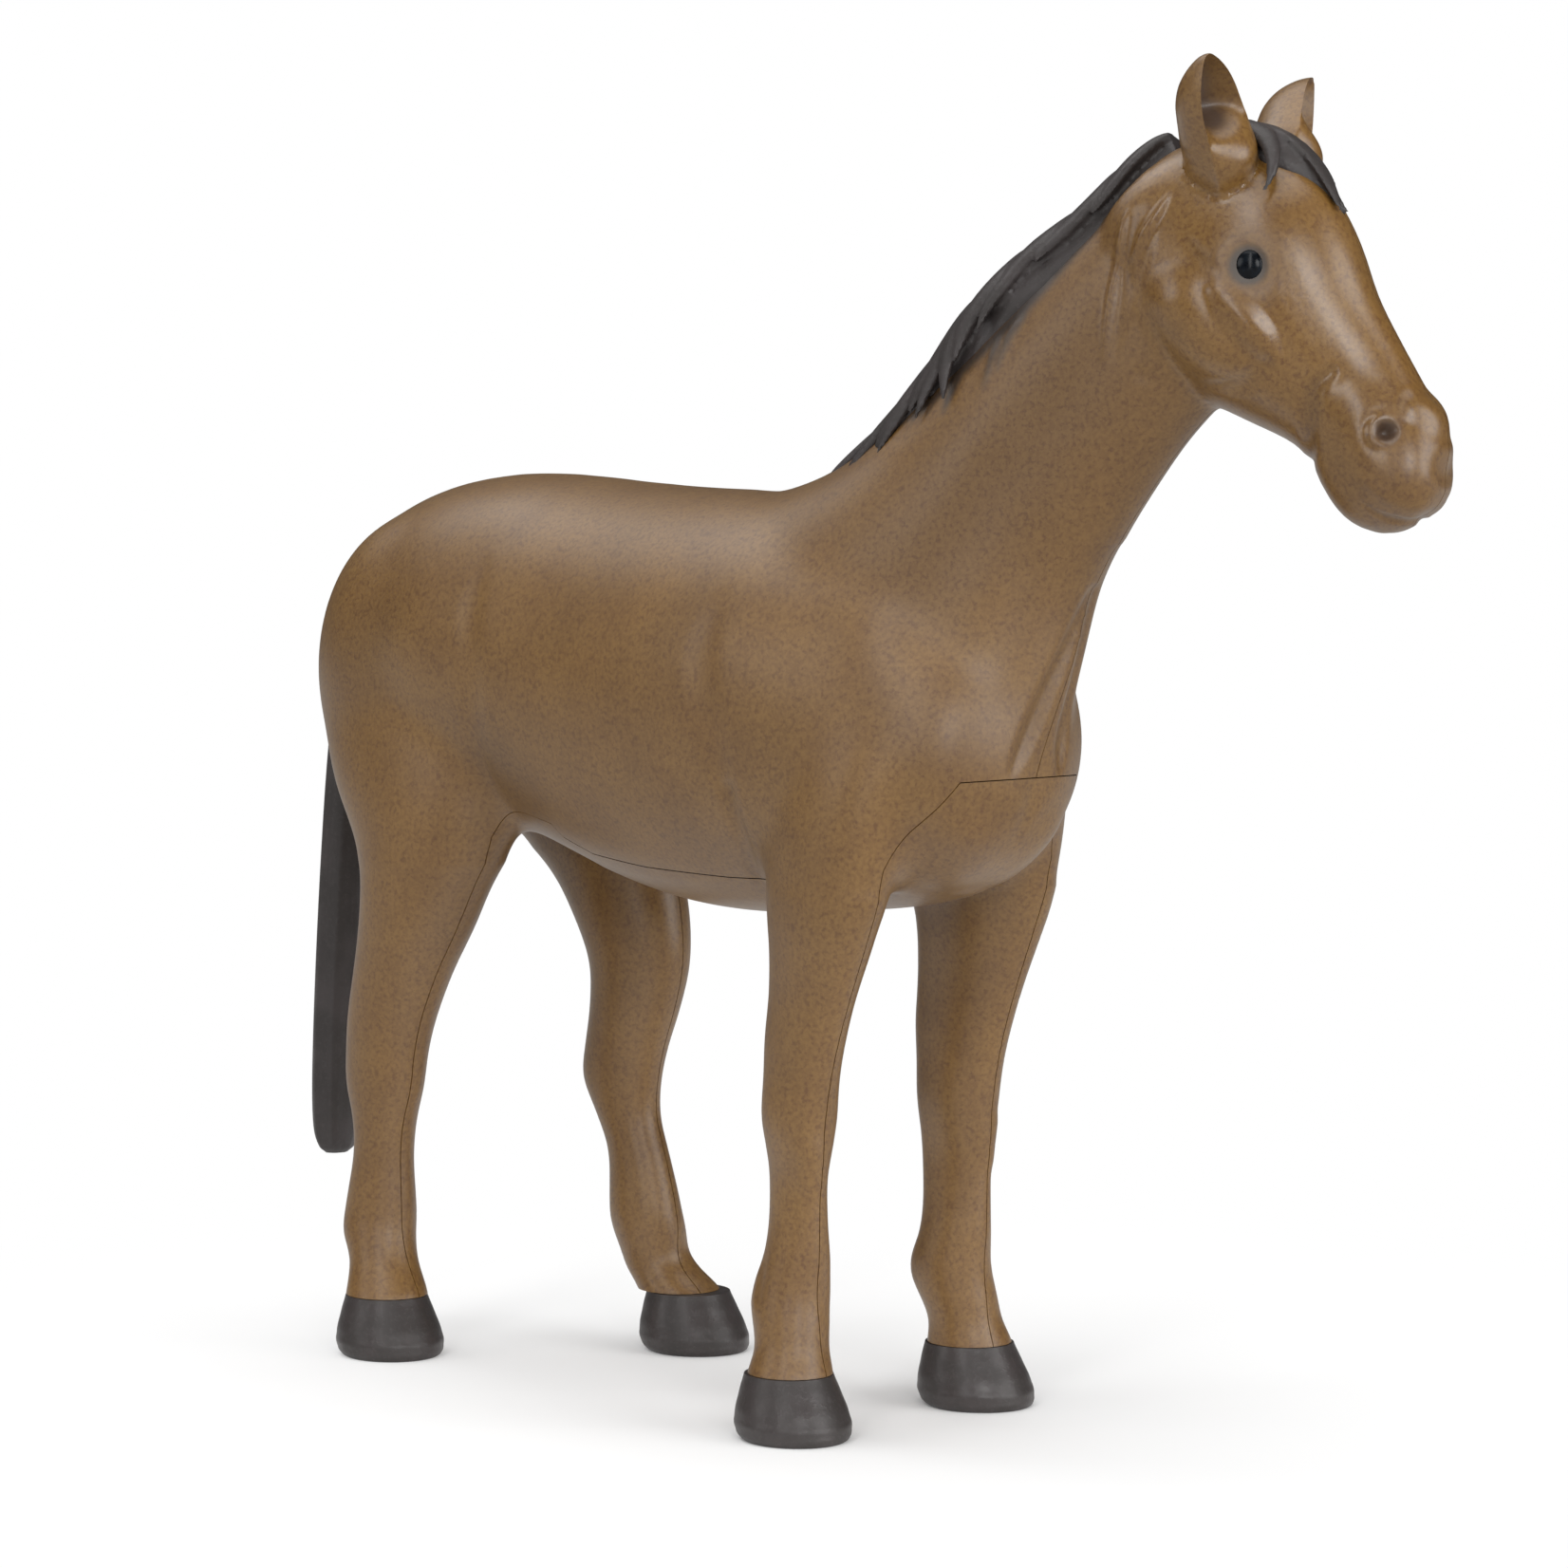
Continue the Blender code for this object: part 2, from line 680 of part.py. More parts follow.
def make_eye(side, grow):
    """An eye bead on its stem, or the room for it when grown."""
    centre = head_point(EYE_ALONG_SHARE, EYE_RISE_SHARE)
    centre += LEFT * side * EYE_SIDE
    radius = EYE_RADIUS + grow
    eye = ellipsoid("eye", centre, (radius, radius * EYE_FLATNESS, radius), EYE_SEGMENTS,
                    EYE_RINGS)
    stem = cylinder("stem", centre, centre - LEFT * side * (EYE_STEM_LENGTH + grow),
                    EYE_STEM_RADIUS + grow, PEG_SIDES)
    boolean(eye, stem, "UNION")
    remove_objects([stem])
    return eye


def hoof_centre(rows, forward, side):
    """The middle of a leg's lowest ring, on the sole."""
    return Vector((forward + rows[0][1] * LEG_SIZE, side * leg_spread(0),
                   SOLE_LEVEL))


def plug_foot(rows, forward, side):
    """Where a hoof's plug starts, under the middle of the leg's third ring."""
    return Vector((forward + rows[2][1] * LEG_SIZE, side * (leg_spread(0) - PLUG_INSET),
                   SOLE_LEVEL + HOOF_HEIGHT / 2))


def make_hoof(name, centre, foot, side):
    """A hoof with a sloping toe, turned outwards, and its plug."""
    turn = Matrix.Rotation(side * HOOF_TURN, 3, "Z")
    toe = turn @ FORWARD
    across = turn @ LEFT
    rings = []
    for height, shift, reach in HOOF_SHARES:
        middle = centre + toe * shift * HOOF_LENGTH + UP * height * HOOF_HEIGHT
        half_length = reach * HOOF_LENGTH / 2
        rings.append(ring(middle, toe, half_length, half_length * HEEL_SHARE,
                          reach * HOOF_WIDTH / 2, side_axis=across, sides=HOOF_SIDES))
    hoof = loft(name, rings)
    plug = plug_bar(foot, 0)
    boolean(hoof, plug, "UNION")
    remove_objects([plug])
    return hoof


def plug_bar(foot, grow):
    """The round plug from a hoof up into its leg."""
    top = foot + UP * (HOOF_HEIGHT / 2 + PLUG_HEIGHT + grow)
    return cylinder("plug", foot, top, PLUG_RADIUS + grow)


def insert_outline(offset):
    """Side view of the space that the underbody insert fills."""
    places = [side_point(forward, up) for forward, up in INSERT_EDGE_SHARES]
    edge = [(place.x, place.z + offset) for place in places]
    return [(edge[0][0], -FAR)] + edge + [(edge[-1][0], -FAR)]


def columns(radius, start_side, end_side):
    """Round bars across the body at the places of the locating columns."""
    bars = []
    for forward, up in COLUMN_SHARES:
        centre = side_point(forward, up)
        bars.append(cylinder("column", centre + LEFT * start_side, centre + LEFT * end_side,
                             radius))
    return join_objects("columns", bars)


def make_cavity():
    """The hollow of the body, with the locating columns left standing in it."""
    cavity = melt(body_form("cavity", WALL), CAVITY_VOXEL, CAVITY_SMOOTHING,
                  CAVITY_TRIANGLES)
    bars = columns(COLUMN_RADIUS, -FAR, FAR)
    boolean(cavity, bars, "DIFFERENCE")
    remove_objects([bars])
    return cavity


def make_body():
    """The whole hollow body before it is parted."""
    body = melt(body_form("body", 0), SKIN_VOXEL, SKIN_SMOOTHING, SKIN_TRIANGLES)
    for side in (-1, 1):
        ear = make_ear(side)
        boolean(body, ear, "UNION")
        remove_objects([ear])
    tools = [make_cavity(), make_mane(GAP), make_forelock(GAP), make_tail(GAP)]
    tools += [make_eye(side, GAP) for side in (-1, 1)]
    tools.append(block("ground", Vector((-FAR, -FAR, -FAR)),
                       Vector((FAR, FAR, SOLE_LEVEL + HOOF_HEIGHT + GAP))))
    tools += [plug_bar(foot, GAP) for _, _, foot, _ in hoof_places()]
    for tool in tools:
        boolean(body, tool, "DIFFERENCE")
    remove_objects(tools)
    return body


def hoof_places():
    """Name, sole point, foot of the plug and side of each hoof."""
    places = []
    for side, side_name in ((-1, "right"), (1, "left")):
        for name, rows, forward in (("_fore_hoof", FORE_SHARES, FORE_FORWARD),
                                    ("_hind_hoof", hind_rows(side), HIND_FORWARD)):
            places.append((side_name + name, hoof_centre(rows, forward, side),
                           plug_foot(rows, forward, side), side))
    return places


def keep_largest(item):
    """Weld the tiny steps of a cut and drop the crumbs it leaves beside the main body."""
    bm = bmesh.new()
    bm.from_mesh(item.data)
    bmesh.ops.triangulate(bm, faces=bm.faces)
    bmesh.ops.remove_doubles(bm, verts=bm.verts, dist=WELD)
    waiting = set(bm.verts)
    bodies = []
    while waiting:
        stack = [waiting.pop()]
        body = set(stack)
        while stack:
            for edge in stack.pop().link_edges:
                for vert in edge.verts:
                    if vert not in body:
                        body.add(vert)
                        stack.append(vert)
        waiting -= body
        bodies.append(body)
    bodies.sort(key=len)
    for body in bodies[:-1]:
        bmesh.ops.delete(bm, geom=list(body), context="VERTS")
    bm.to_mesh(item.data)
    bm.free()


def part_body(body):
    """Cut the hollow body into the underbody insert and the two outer shells."""
    slot = prism("slot", insert_outline(GAP / 2), LEG_PARTING + GAP / 2)
    tongue = prism("tongue", insert_outline(-GAP / 2), LEG_PARTING - GAP / 2)
    insert = copy_object(body, "underbody")
    boolean(insert, tongue, "INTERSECT")
    boolean(body, slot, "DIFFERENCE")
    shells = []
    for name, side in (("right_shell", -1), ("left_shell", 1)):
        shell = copy_object(body, name)
        near = Vector((-FAR, side * GAP / 2, -FAR))
        far = Vector((FAR, -side * FAR, FAR))
        low = Vector(map(min, near, far))
        high = Vector(map(max, near, far))
        other_side = block("other_side", low, high)
        boolean(shell, other_side, "DIFFERENCE")
        remove_objects([other_side])
        shells.append(shell)
    remove_objects([body, slot, tongue])
    right_shell, left_shell = shells
    pins = columns(PIN_RADIUS, -PIN_LENGTH, COLUMN_RADIUS)
    sockets = columns(PIN_RADIUS + GAP, -PIN_LENGTH - GAP, GAP)
    boolean(left_shell, pins, "UNION")
    boolean(right_shell, sockets, "DIFFERENCE")
    remove_objects([pins, sockets])
    for item in (insert, right_shell, left_shell):
        keep_largest(item)
    return insert, right_shell, left_shell


def turn_point(point):
    """Where a point of the straight horse lies once the neck is turned."""
    ramp = (point.z - TURN_FLOOR) / (TURN_CEILING - TURN_FLOOR)
    ramp = min(max(ramp, 0), 1)
    turn = TURN_ANGLE * ramp * ramp * (3 - 2 * ramp)
    if turn == 0:
        return point
    radius = (TURN_END - TURN_START) / turn
    swept = min(max(point.x - TURN_START, 0), TURN_END - TURN_START)
    angle = swept / radius
    beyond = max(point.x - TURN_END, 0)
    ahead = min(point.x, TURN_START) + radius * math.sin(angle) + beyond * math.cos(angle)
    aside = radius * (1 - math.cos(angle)) + beyond * math.sin(angle)
    ahead -= point.y * math.sin(angle)
    aside += point.y * math.cos(angle)
    return Vector((ahead, aside, point.z))


def finish(item, name, material):
    """Turn the neck, split the faces into triangles and set name, shading and material."""
    item.name = name
    item.data.name = name
    bm = bmesh.new()
    bm.from_mesh(item.data)
    bmesh.ops.triangulate(bm, faces=bm.faces)
    for vert in bm.verts:
        vert.co = turn_point(vert.co)
    bm.to_mesh(item.data)
    bm.free()
    item.data.materials.clear()
    item.data.materials.append(material)
    item.data.shade_smooth()
    item.data.set_sharp_from_angle(angle=SHARP_ANGLE)


def plastic(name, colour, roughness):
    """A moulded plastic with its colour and roughness."""
    material = bpy.data.materials.new(name)
    material.use_nodes = True
    shader = material.node_tree.nodes["Principled BSDF"]
    shader.inputs["Base Color"].default_value = (*colour, 1)
    shader.inputs["Roughness"].default_value = roughness
    shader.inputs["Metallic"].default_value = 0
    return material


def centre_on_ground(items):
    """Move all pieces so that their common box stands centred on the origin."""
    points = [vert.co for item in items for vert in item.data.vertices]
    low = Vector(map(min, zip(*points)))
    high = Vector(map(max, zip(*points)))
    shift = Vector((-(low.x + high.x) / 2, -(low.y + high.y) / 2, -low.z))
    for item in items:
        item.data.transform(Matrix.Translation(shift))


def main():
    """Model every piece of the horse."""
    clear_scene()
    coat = plastic("coat_brown", (0.235, 0.13, 0.06), 0.38)
    dark = plastic("dark_brown", (0.072, 0.06, 0.054), 0.5)
    black = plastic("eye_black", (0.012, 0.012, 0.013), 0.12)
    insert, right_shell, left_shell = part_body(make_body())
    finish(insert, "underbody", coat)
    finish(right_shell, "right_shell", coat)
    finish(left_shell, "left_shell", coat)
    pieces = [insert, right_shell, left_shell]
    for name, piece, material in (
        ("mane", make_mane(0), dark),
        ("forelock", make_forelock(0), dark),
        ("tail", make_tail(0), dark),
        ("right_eye", make_eye(-1, 0), black),
        ("left_eye", make_eye(1, 0), black),
    ):
        finish(piece, name, material)
        pieces.append(piece)
    for name, centre, foot, side in hoof_places():
        hoof = make_hoof(name, centre, foot, side)
        finish(hoof, name, dark)
        pieces.append(hoof)
    centre_on_ground(pieces)


if __name__ == "__main__":
    main()
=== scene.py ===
"""Toy farm horse: the looks of its moulded, sprayed and pressed-in plastic pieces.

The horse is modelled straight, as the solids are, from the same tables of shares.
Bodies are lofted, melted into one skin, carved along named lines and parted into two
outer shells and an underbody. Mane, forelock, tail, eyes and hooves are pieces of their
own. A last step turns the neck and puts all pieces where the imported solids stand.
"""
import json
import math

import bmesh
import bpy
import numpy as np
from bpy.props import FloatProperty, FloatVectorProperty, IntProperty, PointerProperty
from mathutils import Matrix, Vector

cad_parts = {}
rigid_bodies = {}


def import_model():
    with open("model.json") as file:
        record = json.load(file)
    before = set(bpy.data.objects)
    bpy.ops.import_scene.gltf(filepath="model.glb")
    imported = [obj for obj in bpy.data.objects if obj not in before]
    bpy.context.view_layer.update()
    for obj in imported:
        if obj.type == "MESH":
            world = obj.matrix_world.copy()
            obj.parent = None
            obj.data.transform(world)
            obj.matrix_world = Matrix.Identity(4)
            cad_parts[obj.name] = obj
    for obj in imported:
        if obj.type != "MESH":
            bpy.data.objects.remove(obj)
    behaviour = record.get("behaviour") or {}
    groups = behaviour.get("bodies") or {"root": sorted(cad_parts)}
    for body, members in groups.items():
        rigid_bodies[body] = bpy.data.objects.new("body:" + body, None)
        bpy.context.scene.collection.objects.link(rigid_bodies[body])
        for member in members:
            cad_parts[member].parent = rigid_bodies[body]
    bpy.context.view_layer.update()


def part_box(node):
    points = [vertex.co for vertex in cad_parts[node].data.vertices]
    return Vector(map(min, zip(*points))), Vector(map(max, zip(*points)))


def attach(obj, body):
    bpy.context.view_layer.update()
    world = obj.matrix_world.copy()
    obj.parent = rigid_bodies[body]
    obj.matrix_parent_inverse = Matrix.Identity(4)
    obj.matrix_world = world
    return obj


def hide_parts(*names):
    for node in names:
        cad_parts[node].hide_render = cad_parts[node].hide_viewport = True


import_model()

bl_info = {
    "name": "Toy Horse",
    "version": (1, 0, 0),
    "blender": (4, 5, 0),
    "location": "3D View > Sidebar > Toy Horse",
    "description": "Models a hollow moulded toy horse with sprayed coat and dark trim",
    "category": "Add Mesh",
}

MM = 0.001
FORWARD = np.array((1.0, 0.0, 0.0))
LEFT = np.array((0.0, 1.0, 0.0))
UP = np.array((0.0, 0.0, 1.0))
SIDES = {"right": -1, "left": 1}
FAR = 0.2

# Places of the neck, head and legs, as shares of the body's sizes
CHEST_SHARE = 0.5435
HEAD_FORWARD_SHARE = 0.6946
HEAD_HEIGHT_SHARE = 1.2174
HEAD_SLOPE = math.radians(45)
TURN_START_SHARE = 0.217
TURN_END_SHARE = 0.609
TURN_FLOOR_SHARE = 0.63
TURN_CEILING_SHARE = 0.87
LEG_TOP_SHARE = 0.587
LEG_SPREAD_SHARE = 0.33
LEG_HOLLOW_SHARE = 0.76
FORE_PLACE_SHARE = 0.794
HIND_PLACE_SHARE = 0.1515
HOOF_TURN = math.radians(12)
HEEL_SHARE = 0.94
HOOF_RINGS = 5
HOOF_RING_DEPTH = 0.003
SOLE_LEVEL = -0.6 * MM
PLUG_RADIUS = 1.3 * MM
PLUG_HEIGHT = 3.4 * MM
PLUG_INSET = 0.4 * MM

# Ears, as shares of the head's length
EAR_ROOT_SHARES = np.array((0.1143, 0.1071, 0.2238))
EAR_TIP_SHARES = np.array((0.0917, 0.241, 0.4137))
EAR_ROOT_LEAD = 0.0333
EAR_TIP_LEAD = 0.026
EAR_TIP_DROP = 0.033
EAR_ROOT_RUN = np.array((0.15, 0.5, 0.85))
EAR_OPENING = (0.976, 0.216)
EAR_LENGTH = 0.236
EAR_WIDTH = 0.148
EAR_DEPTH = 0.11
EAR_HOLLOW = 0.075

# Mane, forelock, tail and eyes
MANE_WIDTH = 8.6 * MM
MANE_DEPTH = 4.8 * MM
MANE_UNDERSIDE = 0.45
MANE_THIN_SHARE = 0.55
MANE_FLANK_WIDTH = 8 * MM
MANE_FLANK_HEIGHT = 12.5 * MM
MANE_PEG_ROWS = (3, 5, 7)
MANE_PEG_AXIS = np.array((0.6, 0, -0.8))
FORELOCK_PEG_ROWS = (2,)
FORELOCK_WIDTH = 5.92 * MM
FORELOCK_DEPTH = 3.0 * MM
FOREHEAD_HALF_WIDTH = 7.3 * MM
FOREHEAD_HALF_HEIGHT = 9.5 * MM
TRIM_STEP = 0.26 * MM
PEG_RADIUS = 0.9 * MM
PEG_LENGTH = 6 * MM
TAIL_ROOT_SHARE = 0.848
TAIL_DEPTH = 5 * MM
TAIL_WIDTH = 6 * MM
TAIL_SIDES = 64
TAIL_STRANDS = 7
TAIL_FINE_STRANDS = 17
TAIL_STRAND_DEPTH = 0.02
EYE_ALONG_SHARE = 0.149
EYE_RISE_SHARE = 0.107
EYE_SIDE_SHARE = 0.363
EYE_FLATNESS = 0.5
EYE_OUT = 0.8 * MM
EYE_POLE = 0.05
EYE_SLIMNESS = 0.9
EYE_STEM_RADIUS = 0.7 * MM
EYE_STEM_LENGTH = 2.8 * MM

# Inside of the mouldings
CREST_WALLS = 1.6
COLUMN_RADIUS = 3 * MM
PIN_RADIUS = 1.2 * MM
PIN_LENGTH = 2.4 * MM
CAVITY_STEP = 1 * MM
CAVITY_SMOOTHING = 4
LEG_PARTING_GAP = 0.6 * MM
BODY_STEPS = 3
TRUNK_SMOOTHING = 50
RING_SIDES = 48
BAR_SIDES = 24
MUSCLE_POLE = 0.06
HEAD_REACH_BACK = 10 * MM
HEAD_REACH_DOWN = 32 * MM

# Pieces: solid that each one stands for, its material slot and its material
LOOKS = (
    ("right_shell", "coat", "sprayed_abs_coat"),
    ("left_shell", "coat", "sprayed_abs_coat"),
    ("underbody", "coat", "sprayed_abs_coat"),
    ("mane", "dark", "satin_pvc_trim"),
    ("forelock", "dark", "satin_pvc_trim"),
    ("tail", "dark", "satin_pvc_trim"),
    ("right_eye", "eye", "polished_abs_bead"),
    ("left_eye", "eye", "polished_abs_bead"),
    ("right_fore_hoof", "dark", "satin_pvc_hoof"),
    ("right_hind_hoof", "dark", "satin_pvc_hoof"),
    ("left_fore_hoof", "dark", "satin_pvc_hoof"),
    ("left_hind_hoof", "dark", "satin_pvc_hoof"),
)

# Torso rings from rump to chest: place along the body, top and floor as shares of
# the back height, half width as a share of the body width
TORSO_SHARES = (
    (0, 0.805, 0.71, 0.1), (0.03, 0.89, 0.655, 0.245), (0.08, 0.948, 0.63, 0.35),
    (0.15, 0.982, 0.615, 0.435), (0.25, 1, 0.61, 0.49), (0.35, 1, 0.582, 0.49),
    (0.45, 0.992, 0.55, 0.49), (0.55, 0.986, 0.53, 0.5), (0.65, 0.982, 0.526, 0.5),
    (0.75, 0.97, 0.534, 0.48), (0.85, 0.935, 0.546, 0.45), (0.92, 0.885, 0.565, 0.4),
    (0.97, 0.83, 0.605, 0.31), (1, 0.77, 0.66, 0.14),
)

# Neck rings from shoulder to poll, as shares of the back height: crest forward and
# up, throat forward and up. The half width is a share of the neck width
NECK_SHARES = (
    (0.13, 0.972, 0.54, 0.67, 0.5), (0.25, 0.999, 0.563, 0.79, 0.42),
    (0.34, 1.045, 0.581, 0.87, 0.35), (0.415, 1.105, 0.612, 0.93, 0.31),
    (0.475, 1.163, 0.645, 0.98, 0.28), (0.54, 1.222, 0.682, 1.03, 0.265),
    (0.6, 1.272, 0.72, 1.07, 0.25),
)

# Head rings from poll to lips, as shares of the head length: place along the head,
# rise towards the face, drop towards the jaw. The half width is a share of the width
HEAD_SHARES = (
    (-0.2, 0.15, 0.1, 0.3), (-0.13, 0.24, 0.2, 0.42), (0, 0.3, 0.24, 0.48),
    (0.12, 0.32, 0.235, 0.52), (0.24, 0.29, 0.205, 0.49), (0.36, 0.235, 0.16, 0.41),
    (0.48, 0.2, 0.12, 0.34), (0.6, 0.168, 0.14, 0.34), (0.68, 0.142, 0.138, 0.36),
    (0.74, 0.105, 0.108, 0.32), (0.78, 0.05, 0.06, 0.2),
)

# Fore leg rings from hoof to shoulder: height as a share of the leg top, then forward
# shift, half depth and half width as shares of the leg size
FORE_SHARES = (
    (0.04, 0.02, 0.47, 0.44), (0.1, 0.03, 0.44, 0.42), (0.145, 0.01, 0.375, 0.36),
    (0.185, -0.04, 0.4, 0.365), (0.225, -0.1, 0.43, 0.37), (0.265, -0.09, 0.42, 0.345),
    (0.31, -0.03, 0.385, 0.3), (0.37, -0.01, 0.375, 0.25), (0.45, -0.01, 0.39, 0.23),
    (0.5, 0, 0.41, 0.28), (0.56, 0, 0.44, 0.34), (0.63, 0.03, 0.48, 0.32),
    (0.7, 0.08, 0.54, 0.32), (0.78, 0.18, 0.6, 0.33), (0.87, 0.29, 0.69, 0.4),
    (0.96, 0.35, 0.82, 0.47), (1.07, 0.38, 0.95, 0.52), (1.2, 0.38, 1.02, 0.52),
    (1.33, 0.34, 0.98, 0.46), (1.45, 0.28, 0.8, 0.36),
)

# Hind leg rings, as above, with the right and the left leg's forward shifts
HIND_SHARES = (
    (0.04, 0.22, 2.22, 0.47, 0.44), (0.1, 0.22, 2.1, 0.46, 0.43),
    (0.14, 0.15, 1.87, 0.41, 0.38), (0.175, 0.07, 1.77, 0.385, 0.35),
    (0.225, -0.06, 1.73, 0.44, 0.36), (0.285, -0.05, 1.69, 0.425, 0.33),
    (0.37, -0.01, 1.6, 0.37, 0.29), (0.44, 0.01, 1.44, 0.4, 0.3),
    (0.51, 0.02, 1.34, 0.52, 0.33), (0.58, 0.06, 1.42, 0.54, 0.36),
    (0.65, 0.15, 1.54, 0.57, 0.4), (0.74, 0.34, 1.62, 0.63, 0.45),
    (0.83, 0.56, 1.5, 0.74, 0.51), (0.92, 0.72, 1.26, 0.88, 0.55), (1, 0.78, 0.95, 1.12, 0.6),
    (1.1, 0.62, 0.68, 1.36, 0.63), (1.24, 0.42, 0.44, 1.44, 0.61),
    (1.38, 0.3, 0.3, 1.34, 0.54), (1.5, 0.26, 0.26, 1.1, 0.42),
)

# Sideways place of all legs: height as a share of the leg top, share of the spread
SPREAD_SHARES = (
    (0.1, 1.14), (0.25, 1), (0.9, 1), (1.45, 0.75),
)

# Hoof rings: height share, shift towards the toe and size as shares of the hoof
HOOF_SHARES = (
    (0, 0.085, 0.84), (0.04, 0.076, 0.9), (0.12, 0.062, 0.945), (0.24, 0.047, 0.965),
    (0.38, 0.034, 0.945), (0.6, 0.016, 0.88), (0.82, 0, 0.8), (1, -0.01, 0.735),
)

# Muscle masses on each side: forward, sideways and up as shares of the body's length,
# width and back height, then their half sizes in the same way
MUSCLE_SHARES = (
    (0.175, 0.210, 0.775, 0.150, 0.258, 0.183),
    (0.828, 0.210, 0.7425, 0.115, 0.234, 0.1776),
)

# Ear rings from root to tip: height share, width share, share of the scoop
EAR_SHARES = (
    (-0.5, 0.7, -0.6), (-0.28, 0.98, -0.6), (-0.1, 1.12, -0.6), (0.06, 1.14, -0.5),
    (0.2, 1.1, -0.2), (0.32, 1.06, 0.4), (0.42, 1.03, 1), (0.56, 0.97, 1), (0.72, 0.81, 1),
    (0.86, 0.55, 1), (0.96, 0.28, 0.8), (1, 0.1, 0),
)

# Mane rings along the crest, as shares of the back height: forward and up, then the
# mane's own width share
MANE_SHARES = (
    (0.265, 1.003, 0.35), (0.295, 1.02, 0.7), (0.345, 1.056, 0.95), (0.4, 1.11, 1),
    (0.45, 1.17, 1), (0.51, 1.222, 1), (0.575, 1.266, 0.9), (0.63, 1.316, 0.72),
    (0.668, 1.342, 0.5),
)

# Forelock rings over the forehead, as shares of the head length: along the head and
# towards its face, then the forelock's own width share
FORELOCK_SHARES = (
    (-0.197, 0.1983, 0.55), (-0.1506, 0.2602, 0.9), (-0.07, 0.3191, 1), (0.01, 0.34, 0.8),
    (0.09, 0.338, 0.5), (0.185, 0.318, 0.15),
)

# Tail rings from the plug in the rump to the tip, as shares of the tail length: back
# from the rump's rear and down from the root. Then depth and width shares
TAIL_SHARES = (
    (-0.14, 0, 0.62, 0.62), (-0.09, -0.01, 0.62, 0.62), (-0.03, 0, 0.62, 0.62),
    (0.02, 0.05, 0.78, 0.8), (0.045, 0.15, 0.9, 0.92), (0.07, 0.34, 1, 1),
    (0.095, 0.6, 1.02, 1.02), (0.11, 0.82, 1.02, 1.02), (0.115, 0.94, 0.95, 0.95),
    (0.115, 0.985, 0.75, 0.75), (0.115, 1, 0.45, 0.45),
)

# Top edge of the underbody insert, as shares of the back height: forward and up
INSERT_EDGE_SHARES = (
    (-0.9, 0.665), (-0.16, 0.665), (-0.03, 0.583), (0.42, 0.583), (0.48, 0.683), (0.9, 0.683),
)

# The insert's sides lean inwards from this share of the back height
INSERT_LEAN_START = 0.595
INSERT_LEAN = 0.38

# Places of the locating columns between the shells, as shares of the back height
COLUMN_SHARES = (
    (-0.36, 0.86), (0, 0.86), (0.34, 0.84), (0.55, 1.11),
)

